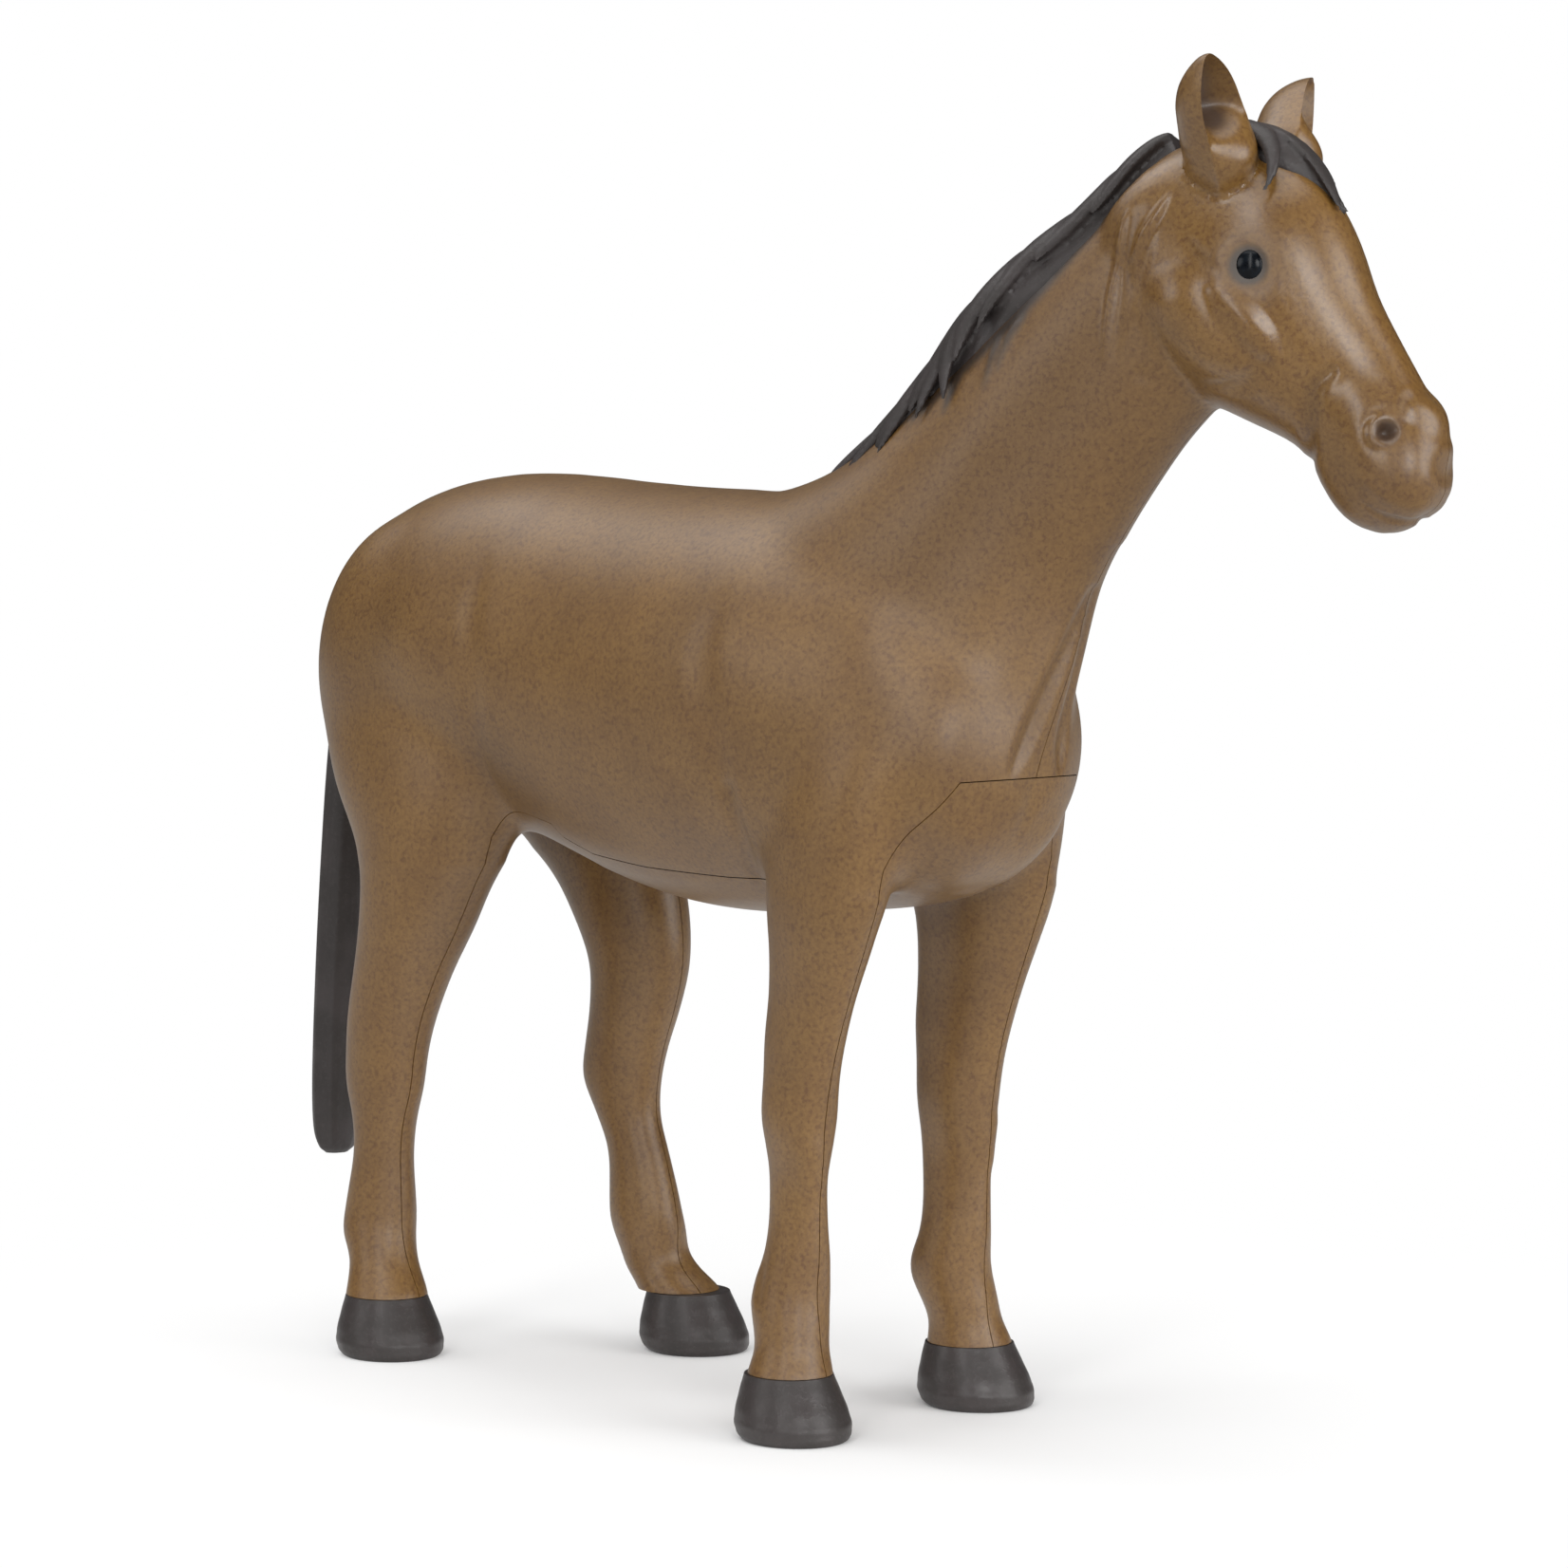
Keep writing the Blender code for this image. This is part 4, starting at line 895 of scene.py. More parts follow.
def body_form(name, inset):
    """Trunk, neck, head, legs and muscles as overlapping closed bodies."""
    size = sizes()
    scales = np.array((size.body_length, size.body_width, size.back_height))
    forms = [torso_rings(inset), neck_rings(inset), head_rings(inset)]
    for _, rows, place, side, turn in leg_places():
        forms.append(leg_rings(rows, place, side, turn, inset))
    for side in SIDES.values():
        for forward, aside, up, *half_sizes in MUSCLE_SHARES:
            centre = FORWARD * size.body_rear
            centre = centre + np.array((forward, side * aside, up)) * scales
            forms.append(muscle_rings(centre, np.array(half_sizes) * scales - inset))
    return join_items(name, [loft(name, form) for form in forms])


def ear_line(side):
    """Root and tip of an ear."""
    scale = sizes().head_length
    mirror = np.array((1, side, 1))
    root = head_point(0, 0) + mirror * EAR_ROOT_SHARES * scale
    tip = head_point(0, 0) + mirror * EAR_TIP_SHARES * scale
    root = root + FORWARD * side * EAR_ROOT_LEAD * scale
    tip = tip + (FORWARD * EAR_TIP_LEAD - UP * EAR_TIP_DROP) * side * scale
    return root, tip


def ear_axes(side):
    """Long axis, open side and width direction of an ear."""
    root, tip = ear_line(side)
    axis = unit(tip - root)
    facing = np.array((EAR_OPENING[0], side * EAR_OPENING[1], 0))
    open_side = unit(facing - axis * facing.dot(axis))
    return axis, open_side, np.cross(axis, open_side)


def make_ear(side):
    """A cupped ear, its open side turned forwards and outwards."""
    scale = sizes().head_length
    root, _ = ear_line(side)
    axis, open_side, across = ear_axes(side)
    rings = []
    for height, width, scoop in smooth_rows(EAR_SHARES, 4):
        width *= scale
        rise = axis if height > 0 else EAR_ROOT_RUN * np.array((1, side, 1))
        centre = root + (rise * height * EAR_LENGTH + open_side * EAR_DEPTH / 2) * scale
        rings.append(ring(centre, -open_side, width * EAR_DEPTH, width * EAR_WIDTH / 2,
                          under=width * EAR_HOLLOW * scoop, side_axis=across))
    return loft("ear", rings)


def reach_of(points, rows):
    """How strongly each point feels a line of places and radii, from nought to one."""
    if len(rows) > 2:
        rows = np.array(smooth_rows(rows, 4))
    reach = np.zeros(len(points))
    widest = rows[:, 3].max()
    low = rows[:, :3].min(axis=0) - widest
    high = rows[:, :3].max(axis=0) + widest
    near = np.flatnonzero(((points > low) & (points < high)).all(axis=1))
    places = points[near]
    for start, end in zip(rows[:-1], rows[1:]):
        run = end[:3] - start[:3]
        along = np.clip((places - start[:3]) @ run / run.dot(run), 0, 1)
        gap = np.linalg.norm(places - start[:3] - np.outer(along, run), axis=1)
        radius = start[3] + (end[3] - start[3]) * along
        share = np.clip(1 - (gap / radius) ** 2, 0, 1) ** 2 * radius / widest
        reach[near] = np.maximum(reach[near], share)
    return reach


def circle_rows(centre, facing, radius, width):
    """A closed line of places and radii around a centre, sized in millimetres."""
    across = unit(np.cross(facing, UP))
    rise = np.cross(across, facing)
    rows = []
    for angle in np.linspace(0, 2 * math.pi, 17):
        place = across * math.cos(angle) + rise * math.sin(angle)
        rows.append((*(centre + place * radius * MM), width * MM))
    return np.array(rows)


def straight_rows(start, end, radius, end_radius):
    """A line between two places, with its radii in millimetres."""
    return np.array([(*start, radius * MM), (*end, end_radius * MM)])


def eye_centre(side):
    """The middle of an eye bead."""
    aside = LEFT * side * EYE_SIDE_SHARE * sizes().head_width
    return head_point(EYE_ALONG_SHARE, EYE_RISE_SHARE) + aside


def push_strokes(item):
    """Raise and sink the skin along the carved lines on both sides."""
    points = read_points(item)
    for depth, *path in STROKES.values():
        normals = read_normals(item)
        points = points + normals * (spread_of(points, [path]) * depth * MM)[:, None]
        write_points(item, points)


def push_eye_sockets(item):
    """Sink the skin around each eye and raise a lid at its edge."""
    for side in SIDES.values():
        points = read_points(item)
        centre = eye_centre(side)
        outside = centre + LEFT * side * sizes().eye_radius / 2
        spot = straight_rows(centre, outside, EYE_SOCKET_RADIUS, EYE_SOCKET_RADIUS)
        lid = circle_rows(outside, LEFT * side, EYE_RIM_RADIUS, EYE_RIM_WIDTH)
        change = reach_of(points, lid) * EYE_RIM_RISE
        change -= reach_of(points, spot) * EYE_SOCKET_DEPTH
        write_points(item, points + read_normals(item) * change[:, None] * MM)


def nostril_place(side):
    """Middle of a nostril and the direction it faces."""
    mirror = np.array((1, -side, 1))
    return mirror * NOSTRIL * MM, unit(mirror * NOSTRIL_FACING)


def push_nostrils(item):
    """Raise a round rim and sink the pit of each nostril."""
    for side in SIDES.values():
        points = read_points(item)
        centre, facing = nostril_place(side)
        half = facing * MM / 2
        rim = circle_rows(centre, facing, NOSTRIL_RIM_RADIUS, NOSTRIL_RIM_WIDTH)
        trough = circle_rows(centre, facing, NOSTRIL_RING_RADIUS, NOSTRIL_RING_WIDTH)
        pit = straight_rows(centre - half, centre + half, NOSTRIL_PIT_RADIUS,
                            NOSTRIL_PIT_RADIUS)
        change = reach_of(points, rim) * NOSTRIL_RIM_RISE
        change -= reach_of(points, trough) * NOSTRIL_RING_DEPTH
        sunk = np.outer(reach_of(points, pit), facing) * NOSTRIL_PIT_DEPTH
        write_points(item, points + (read_normals(item) * change[:, None] - sunk) * MM)


def soften(item, chosen, repeat):
    """Smooth the chosen points of a mesh."""
    edit(item, "VERT", chosen, bpy.ops.mesh.vertices_smooth, factor=0.5, repeat=repeat)


def soften_ears(item):
    """Round the ears' rims and the line where each ear meets the head."""
    points = read_points(item)
    roots = np.zeros(len(points), dtype=bool)
    rims = roots.copy()
    for side in SIDES.values():
        root, _ = ear_line(side)
        axis, _, _ = ear_axes(side)
        offset = points - root
        height = offset @ axis / MM
        near = np.linalg.norm(offset - np.outer(offset @ axis, axis), axis=1) < 7 * MM
        roots |= (np.abs(height + 1) < 2.8) & near
        rims |= (height > 1) & (height < 16) & near
    soften(item, roots, 24)
    soften(item, rims, 5)


def refine_head(item):
    """Give the head's skin finer faces for its small details."""
    ahead, _, up = read_rows(item.data.polygons, "center").T
    poll = side_point(HEAD_FORWARD_SHARE, HEAD_HEIGHT_SHARE)
    chosen = (ahead > poll[0] - HEAD_REACH_BACK) & (up > poll[2] - HEAD_REACH_DOWN)
    edit(item, "FACE", chosen, bpy.ops.mesh.subdivide, number_cuts=1, smoothness=0)


def saddle_rings(rows, place, width, depth):
    """Sections of a strip that lies over a ridge, such as the mane on the crest."""
    rows = smooth_rows(rows, 4)
    points = [place(row[0], row[1]) for row in rows]
    rings = []
    for index, (_, _, share) in enumerate(rows):
        rise_axis = unit(np.cross(neighbour_run(points, index), LEFT))
        reach = depth * (MANE_THIN_SHARE + (1 - MANE_THIN_SHARE) * share)
        rings.append(ring(points[index] - rise_axis * reach, rise_axis, reach,
                          share * width / 2, under=MANE_UNDERSIDE * reach * share, sides=32))
    return rings


def ridge_frame(rows, place, along):
    """Crest point and outward direction at a share of a ridge's length."""
    spine = np.array([place(row[0], row[1]) for row in smooth_rows(rows, 4)])
    lengths = np.linalg.norm(np.diff(spine, axis=0), axis=1)
    marks = np.concatenate(((0,), np.cumsum(lengths))) / lengths.sum()
    behind, point, ahead = (np.array([np.interp(mark, marks, axis) for axis in spine.T])
                            for mark in (along - 0.03, along, along + 0.03))
    outward = np.cross(LEFT, unit(ahead - behind))
    return point, outward * np.sign(outward[2])


def lock_rings(rows, place, half_width, half_height, lock, side):
    """Sections of one lock of hair that lies on a ridge's flank and ends in a tip."""
    start, start_aside, end, end_aside, width, thickness = lock
    shares = smooth_rows(LOCK_SHARES, 3)
    middles = []
    normals = []
    for share, _, _ in shares:
        along = start + (end - start) * share
        aside = (start_aside + (end_aside - start_aside) * share ** 1.5) * MM
        point, outward = ridge_frame(rows, place, min(max(along, 0), 1))
        slope = min(abs(aside) / half_width, 0.96)
        fall = half_height * (1 - math.sqrt(1 - slope * slope))
        normal = unit(LEFT * aside / half_width ** 2
                      + outward * (half_height - fall) / half_height ** 2)
        middles.append(point + LEFT * side * aside - outward * fall)
        normals.append(normal * np.array((1, side, 1)))
    rings = []
    for index, (_, width_share, thick_share) in enumerate(shares):
        run = unit(neighbour_run(middles, index))
        rise = unit(normals[index] - run * run.dot(normals[index]))
        rings.append(ring(middles[index], rise, thickness * MM / 2 * thick_share,
                          width * MM / 2 * width_share, side_axis=np.cross(run, rise),
                          sides=12))
    return rings


def make_hair(name, rows, place, strip, locks, pegs, inward):
    """A strip over a ridge with its locks, and pegs that run into the shells."""
    forms = [saddle_rings(rows, place, *strip)] + locks
    hair = melt(join_items(name, [loft(name, form) for form in forms]), TRIM_STEP, 3)
    for index in pegs:
        crest = place(rows[index][0], rows[index][1])
        use_up(hair, "UNION", bar(crest + inward * PEG_RADIUS, crest + inward * PEG_LENGTH,
                                  PEG_RADIUS))
    return hair


def make_mane():
    """A strip over the crest with overlapping locks on both sides and three pegs."""
    forms = []
    for side in SIDES.values():
        shift = MANE_SHIFT * (side > 0)
        for start, aside, end, *rest in MANE_LOCKS:
            lock = (start + shift, aside, min(end + shift, 1), *rest)
            forms.append(lock_rings(MANE_SHARES[::-1], side_point, MANE_FLANK_WIDTH,
                                    MANE_FLANK_HEIGHT, lock, side))
    return make_hair("mane", MANE_SHARES, side_point, (MANE_WIDTH, MANE_DEPTH), forms,
                     MANE_PEG_ROWS, MANE_PEG_AXIS)


def make_forelock():
    """A strip over the forehead with its locks and one peg."""
    forms = []
    for start, aside, end, end_aside, *rest in FORELOCK_LOCKS:
        side = 1 if end_aside > 0 else -1
        lock = (start, aside * side, end, end_aside * side, *rest)
        forms.append(lock_rings(FORELOCK_SHARES, head_point, FOREHEAD_HALF_WIDTH,
                                FOREHEAD_HALF_HEIGHT, lock, side))
    return make_hair("forelock", FORELOCK_SHARES, head_point,
                     (FORELOCK_WIDTH, FORELOCK_DEPTH), forms, FORELOCK_PEG_ROWS, -UP)


def make_tail():
    """A hanging tail with soft strands and a plug in the rump."""
    size = sizes()
    rows = smooth_rows(TAIL_SHARES, 5)
    root = FORWARD * size.body_rear + UP * TAIL_ROOT_SHARE * size.back_height
    points = [root - (FORWARD * row[0] + UP * row[1]) * size.tail_length for row in rows]
    angles = np.arange(TAIL_SIDES) * 2 * math.pi / TAIL_SIDES
    rings = []
    for index, (_, down, depth, width) in enumerate(rows):
        rise_axis = unit(np.cross(neighbour_run(points, index), LEFT))
        section = ring(points[index], rise_axis, depth * TAIL_DEPTH / 2,
                       width * TAIL_WIDTH / 2, sides=TAIL_SIDES)
        waves = np.cos(angles * TAIL_STRANDS + down * 3) - 1
        waves += 0.5 * (np.cos(angles * TAIL_FINE_STRANDS - down * 4) - 1)
        sunk = 1 + TAIL_STRAND_DEPTH * min(max(down / 0.1, 0), 1) * waves
        rings.append(points[index] + (section - points[index]) * sunk[:, None])
    return loft("tail", rings)


def make_eye(side):
    """A glossy eye bead on its stem."""
    centre = eye_centre(side)
    middle = centre + LEFT * side * EYE_OUT
    radius = sizes().eye_radius
    rings = []
    for angle in np.linspace(EYE_POLE, math.pi - EYE_POLE, 32):
        spread = radius * math.sin(angle)
        rings.append(ring(middle - LEFT * radius * EYE_FLATNESS * math.cos(angle), UP,
                          spread, spread * EYE_SLIMNESS, side_axis=FORWARD))
    eye = loft("eye", rings)
    use_up(eye, "UNION", bar(middle, centre - LEFT * side * EYE_STEM_LENGTH,
                             EYE_STEM_RADIUS))
    return eye


def hoof_sections(rows, place, side, steps, sides):
    """Sections of a hoof with a sloping toe, turned outwards."""
    size = sizes()
    toe, across = turned_axes(side * HOOF_TURN)
    centre = FORWARD * (place + rows[0][1] * size.leg_size)
    centre = centre + LEFT * side * leg_spread(0) + UP * SOLE_LEVEL
    sections = []
    for height, shift, reach in smooth_rows(HOOF_SHARES, steps):
        middle = centre + toe * shift * size.hoof_length + UP * height * size.hoof_height
        half_length = reach * size.hoof_length / 2
        sections.append(ring(middle, toe, half_length, reach * size.hoof_width / 2,
                             half_length * HEEL_SHARE, side_axis=across, sides=sides))
    return sections


def make_hoof(rows, place, side):
    """A hoof with faint growth rings, a rounded sole edge and its plug."""
    size = sizes()
    sections = hoof_sections(rows, place, side, 8, 64)
    grown = []
    for share, section in zip(np.linspace(0, 1, len(sections)), sections):
        centre = section.mean(axis=0)
        wave = HOOF_RING_DEPTH * math.sin(share * HOOF_RINGS * 2 * math.pi)
        wave *= abs(math.sin(math.pi * share)) ** 0.5
        grown.append(centre + (section - centre) * (1 + wave))
    hoof = loft("hoof", grown)
    foot = FORWARD * (place + rows[2][1] * size.leg_size)
    foot = foot + LEFT * side * (leg_spread(0) - PLUG_INSET)
    foot = foot + UP * (SOLE_LEVEL + size.hoof_height / 2)
    top = foot + UP * (size.hoof_height / 2 + PLUG_HEIGHT)
    use_up(hoof, "UNION", bar(foot, top, PLUG_RADIUS))
    return hoof


def insert_outline(offset):
    """Side view of the space that the underbody insert fills."""
    places = [side_point(forward, up) for forward, up in INSERT_EDGE_SHARES]
    edge = [(place[0], place[2] + offset) for place in smooth_rows(places, 4)]
    return [(edge[0][0], -FAR)] + edge + [(edge[-1][0], -FAR)]


def columns(radius, start_side, end_side):
    """Round bars across the body at the places of the locating columns."""
    places = [side_point(forward, up) for forward, up in COLUMN_SHARES]
    return join_items("columns", [bar(place + LEFT * start_side, place + LEFT * end_side,
                                      radius) for place in places])


def grown_copy(item):
    """A copy of a piece that is larger by the fit on all sides."""
    twin = add_object("room", item.data.copy())
    write_points(twin, read_points(twin) + read_normals(twin) * sizes().fit)
    return twin


def finish_piece(item, name, material):
    """Turn the neck, put the piece where its solid is, hang it on the root body and hide the
    solid.
    """
    write_points(item, turn_points(read_points(item)) + solids_shift())
    item.data.materials.clear()
    item.data.materials.append(material)
    select_only([item])
    bpy.ops.object.shade_smooth_by_angle(angle=math.radians(40))
    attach(item, "root")
    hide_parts(name)


def turn_points(points):
    """Where points of the straight horse lie once the neck is turned."""
    size = sizes()
    origin = side_origin()
    start = origin + TURN_START_SHARE * size.back_height
    end = origin + TURN_END_SHARE * size.back_height
    floor = TURN_FLOOR_SHARE * size.back_height
    ceiling = TURN_CEILING_SHARE * size.back_height
    ahead, aside, up = points.T
    ramp = np.clip((up - floor) / (ceiling - floor), 0, 1)
    turn = np.maximum(size.neck_turn * ramp * ramp * (3 - 2 * ramp), 1e-9)
    radius = (end - start) / turn
    angle = np.clip(ahead - start, 0, end - start) / radius
    beyond = np.maximum(ahead - end, 0)
    forward = np.minimum(ahead, start) + radius * np.sin(angle) + beyond * np.cos(angle)
    left = radius * (1 - np.cos(angle)) + beyond * np.sin(angle)
    forward = forward - aside * np.sin(angle)
    left = left + aside * np.cos(angle)
    return np.column_stack((forward, left, up))


def solids_shift():
    """From the straight horse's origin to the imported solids' origin."""
    middles = []
    for name, rows, place, side, _ in leg_places():
        if name.endswith("fore_hoof"):
            points = np.vstack(hoof_sections(rows, place, side, 1, 24))
            middle = (points.min(axis=0) + points.max(axis=0)) / 2
            middles.append(np.mean(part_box(name), axis=0) - middle)
    ahead, aside, _ = np.mean(middles, axis=0)
    return np.array((ahead, aside, -SOLE_LEVEL))


def look(node):
    """The name of the piece that stands for a solid."""
    return node + "_look"


def keep_straight(item, node):
    """Name a piece that waits, still straight, for the last step."""
    item.name = look(node)
    item.data.name = look(node)


def paint(item, name, values):
    """Store one number a point, which the materials read."""
    layer = item.data.attributes.new(name, "FLOAT", "POINT")
    layer.data.foreach_set("value", np.ascontiguousarray(values, dtype=np.float32))


def spread_of(points, paths):
    """The strongest reach of several lines on both sides."""
    reach = np.zeros(len(points))
    for path in paths:
        for side in SIDES.values():
            rows = np.array(path, dtype=float) * MM * (1, -side, 1, 1)
            reach = np.maximum(reach, reach_of(points, rows))
    return reach


def spot_of(points, centre, radius, fade):
    """One near a place, fading to nought at a radius, both in millimetres."""
    gap = np.linalg.norm(points - centre, axis=1) / MM
    return np.clip((radius - gap) / fade, 0, 1)


def paint_coat(item):
    """Mark lids, the dark spray beside the mane and the glossier patches, and paint shade into
    nostrils, ear hollows, mouth, deep lines, neck, thigh and around the eyes.
    """
    points = read_points(item)
    lids = np.zeros(len(points))
    # Around each eye: a rougher coat and painted shade
    dull_and_shade = lids.copy()
    # Painted shade in the mouth groove, the nostrils and the ear hollows
    pit_shade = spread_of(points, [STROKES["mouth"][1:]]) * MOUTH_DARKNESS
    for side in SIDES.values():
        eye = eye_centre(side)
        lids = np.maximum(lids, spot_of(points, eye, LID_REACH, LID_FADE))
        dull_and_shade = np.maximum(dull_and_shade, spot_of(points, eye, DULL_REACH, DULL_FADE))
        nostril, _ = nostril_place(side)
        pit_shade = np.maximum(pit_shade, spot_of(points, nostril, NOSTRIL_DARK_REACH,
                                        NOSTRIL_DARK_FADE))
        ear = straight_rows(*ear_line(side), EAR_DARK_ROOT, EAR_DARK_TIP)
        inside = read_normals(item) @ ear_axes(side)[1] > 0
        pit_shade = np.maximum(pit_shade, reach_of(points, ear) * inside * EAR_DARKNESS)
    # Painted shade along the grooves, the neck and the thigh, and around the eyes
    lines = [STROKES[name][1:] for name in SHADED_STROKES] + [NECK_SHADE, THIGH_SHADE]
    paint(item, "lid", lids)
    paint(item, "pit", pit_shade)
    paint(item, "spray", spread_of(points, MANE_SPRAY))
    paint(item, "shade", np.maximum(spread_of(points, lines), dull_and_shade * EYE_SHADE))
    paint(item, "sheen", spread_of(points, [SHEEN]) * (1 - dull_and_shade) * (1 - pit_shade.clip(0, 1)))


def carved_body():
    """The whole skin with ears, carved lines, eye sockets and nostrils."""
    size = sizes()
    body = melt(body_form("body", 0), size.skin_step, size.smoothing)
    ahead, _, up = read_points(body).T / MM
    soften(body, (ahead < 56) & (up > 52) & (up < 94), TRUNK_SMOOTHING)
    for side in SIDES.values():
        use_up(body, "UNION", make_ear(side))
    refine_head(body)
    soften_ears(body)
    push_strokes(body)
    push_eye_sockets(body)
    push_nostrils(body)
    soften(body, np.ones(len(body.data.vertices), dtype=bool), 1)
    return body


def part_body(body):
    """Cut the hollow body into the underbody insert and the two outer shells."""
    size = sizes()
    gap = size.seam / 2
    parting = LEG_SPREAD_SHARE * size.body_width + LEG_PARTING_GAP
    insert = add_object("insert", body.data.copy())
    use_up(insert, "INTERSECT", tapered_prism(insert_outline(-gap), parting - gap))
    use_up(body, "DIFFERENCE", tapered_prism(insert_outline(gap), parting + gap))
    shells = []
    for side in SIDES.values():
        shell = add_object("shell", body.data.copy())
        low, high = sorted((side * gap, -side * FAR))
        use_up(shell, "DIFFERENCE", block((-FAR, low, -FAR), (FAR, high, FAR)))
        shells.append(shell)
    remove_items([body])
    right_shell, left_shell = shells
    use_up(left_shell, "UNION", columns(PIN_RADIUS, -PIN_LENGTH, COLUMN_RADIUS))
    use_up(right_shell, "DIFFERENCE",
           columns(PIN_RADIUS + size.fit, -PIN_LENGTH - size.fit, size.fit))
    for item in (insert, right_shell, left_shell):
        keep_largest(item)
    return (("right_shell", right_shell), ("left_shell", left_shell), ("underbody", insert))


def keep_largest(item):
    """Weld the tiny steps of a cut and drop the crumbs it leaves beside the main body."""
    bm = bmesh.new()
    bm.from_mesh(item.data)
    bmesh.ops.remove_doubles(bm, verts=bm.verts, dist=WELD)
    waiting = set(bm.verts)
    bodies = []
    while waiting:
        stack = [waiting.pop()]
        body = set(stack)
        while stack:
            for edge in stack.pop().link_edges:
                for vert in edge.verts:
                    if vert not in body:
                        body.add(vert)
                        stack.append(vert)
        waiting -= body
        bodies.append(body)
    bodies.sort(key=len)
    for body in bodies[:-1]:
        bmesh.ops.delete(bm, geom=list(body), context="VERTS")
    bm.to_mesh(item.data)
    bm.free()


def make_cavity():
    """The hollow of the body, with the locating columns left standing in it."""
    cavity = melt(body_form("cavity", sizes().wall), CAVITY_STEP, CAVITY_SMOOTHING)
    use_up(cavity, "DIFFERENCE", columns(COLUMN_RADIUS, -FAR, FAR))
    return cavity


class HORSE_OT_mane(bpy.types.Operator):
    """Model the mane's strip, locks and pegs"""
    bl_idname = "toy_horse.mane"
    bl_label = "Mane"

    def execute(self, context):
        keep_straight(make_mane(), "mane")
        return {"FINISHED"}


class HORSE_OT_forelock(bpy.types.Operator):
    """Model the forelock's strip, locks and peg"""
    bl_idname = "toy_horse.forelock"
    bl_label = "Forelock"

    def execute(self, context):
        keep_straight(make_forelock(), "forelock")
        return {"FINISHED"}


class HORSE_OT_tail(bpy.types.Operator):
    """Model the hanging tail with its strands and plug"""
    bl_idname = "toy_horse.tail"
    bl_label = "Tail"

    def execute(self, context):
        keep_straight(make_tail(), "tail")
        return {"FINISHED"}


class HORSE_OT_eyes(bpy.types.Operator):
    """Model the two glossy eye beads on their stems"""
    bl_idname = "toy_horse.eyes"
    bl_label = "Eyes"

    def execute(self, context):
        for name, side in SIDES.items():
            keep_straight(make_eye(side), name + "_eye")
        return {"FINISHED"}


class HORSE_OT_hooves(bpy.types.Operator):
    """Model the four hooves with their plugs"""
    bl_idname = "toy_horse.hooves"
    bl_label = "Hooves"

    def execute(self, context):
        for name, rows, place, side, _ in leg_places():
            keep_straight(make_hoof(rows, place, side), name)
        return {"FINISHED"}


class HORSE_OT_coat(bpy.types.Operator):
    """Model the body's skin, carve it and part it into shells and underbody"""
    bl_idname = "toy_horse.coat"
    bl_label = "Shells and underbody"

    def execute(self, context):
        rooms = {node: grown_copy(bpy.data.objects[look(node)]) for node, slot, _ in LOOKS
                 if slot != "coat"}
        forelock = rooms.pop("forelock")
        ground = block((-FAR, -FAR, -FAR),
                       (FAR, FAR, SOLE_LEVEL + sizes().hoof_height + sizes().fit))
        tools = [make_cavity(), ground, join_items("rooms", list(rooms.values())), forelock]
        body = carved_body()
        use_up(body, "DIFFERENCE", *tools)
        for node, item in part_body(body):
            paint_coat(item)
            keep_straight(item, node)
        return {"FINISHED"}


class HORSE_OT_turn(bpy.types.Operator):
    """Turn the neck, place all pieces on their solids and give them their plastics"""
    bl_idname = "toy_horse.turn"
    bl_label = "Turn the neck and place"

    def execute(self, context):
        materials = {
            "sprayed_abs_coat": coat_material(),
            "satin_pvc_trim": trim_material(),
            "satin_pvc_hoof": hoof_material(),
            "polished_abs_bead": eye_material(),
        }
        for node, slot, material in LOOKS:
            finish_piece(bpy.data.objects[look(node)], node, materials[material])
        return {"FINISHED"}


class HORSE_OT_stage(bpy.types.Operator):
    """Set up the pale floor, the lamps, the surroundings and the camera"""
    bl_idname = "toy_horse.stage"
    bl_label = "Stage"

    def execute(self, context):
        make_floor()
        make_lamps()
        make_surroundings()
        make_camera()
        context.scene.view_settings.view_transform = "Standard"
        return {"FINISHED"}


def add_node(tree, kind, settings=(), links=()):
    """Add one node, set its properties and sockets, and link its inputs."""
    made = tree.nodes.new(kind)
    for name, value in dict(settings).items():
        if isinstance(name, str) and hasattr(made, name):
            setattr(made, name, value)
        else:
            made.inputs[name].default_value = value
    for name, source in dict(links).items():
        tree.links.new(source, made.inputs[name])
    return made


def new_material(name):
    """An empty material, its node tree and the place on the object."""
    material = bpy.data.materials.new(name)
    material.use_nodes = True
    tree = material.node_tree
    tree.nodes.clear()
    return material, tree, add_node(tree, "ShaderNodeTexCoord").outputs["Object"]


def colour_mix(tree, factor, first, second, blend="MIX"):
    """Mix two colours by a factor. Each is a linked output or a plain colour."""
    settings = {"data_type": "RGBA", "blend_type": blend}
    links = {}
    for socket, value in ((0, factor), (6, first), (7, second)):
        if isinstance(value, bpy.types.NodeSocket):
            links[socket] = value
        elif socket == 0:
            settings[socket] = value
        else:
            settings[socket] = (*value, 1)
    return add_node(tree, "ShaderNodeMix", settings, links).outputs[2]


def grain(tree, place, spacing, low, high, detail=2, top=1):
    """Noise of a real spacing in metres, stretched between two levels."""
    noise = add_node(tree, "ShaderNodeTexNoise",
                     {"Scale": 1 / spacing, "Detail": detail, "Roughness": 0.55},
                     {"Vector": place})
    stretched = add_node(tree, "ShaderNodeMapRange",
                         {"From Min": low, "From Max": high, "To Max": top,
                          "interpolation_type": "SMOOTHSTEP"},
                         {"Value": noise.outputs["Fac"]})
    return stretched.outputs["Result"]


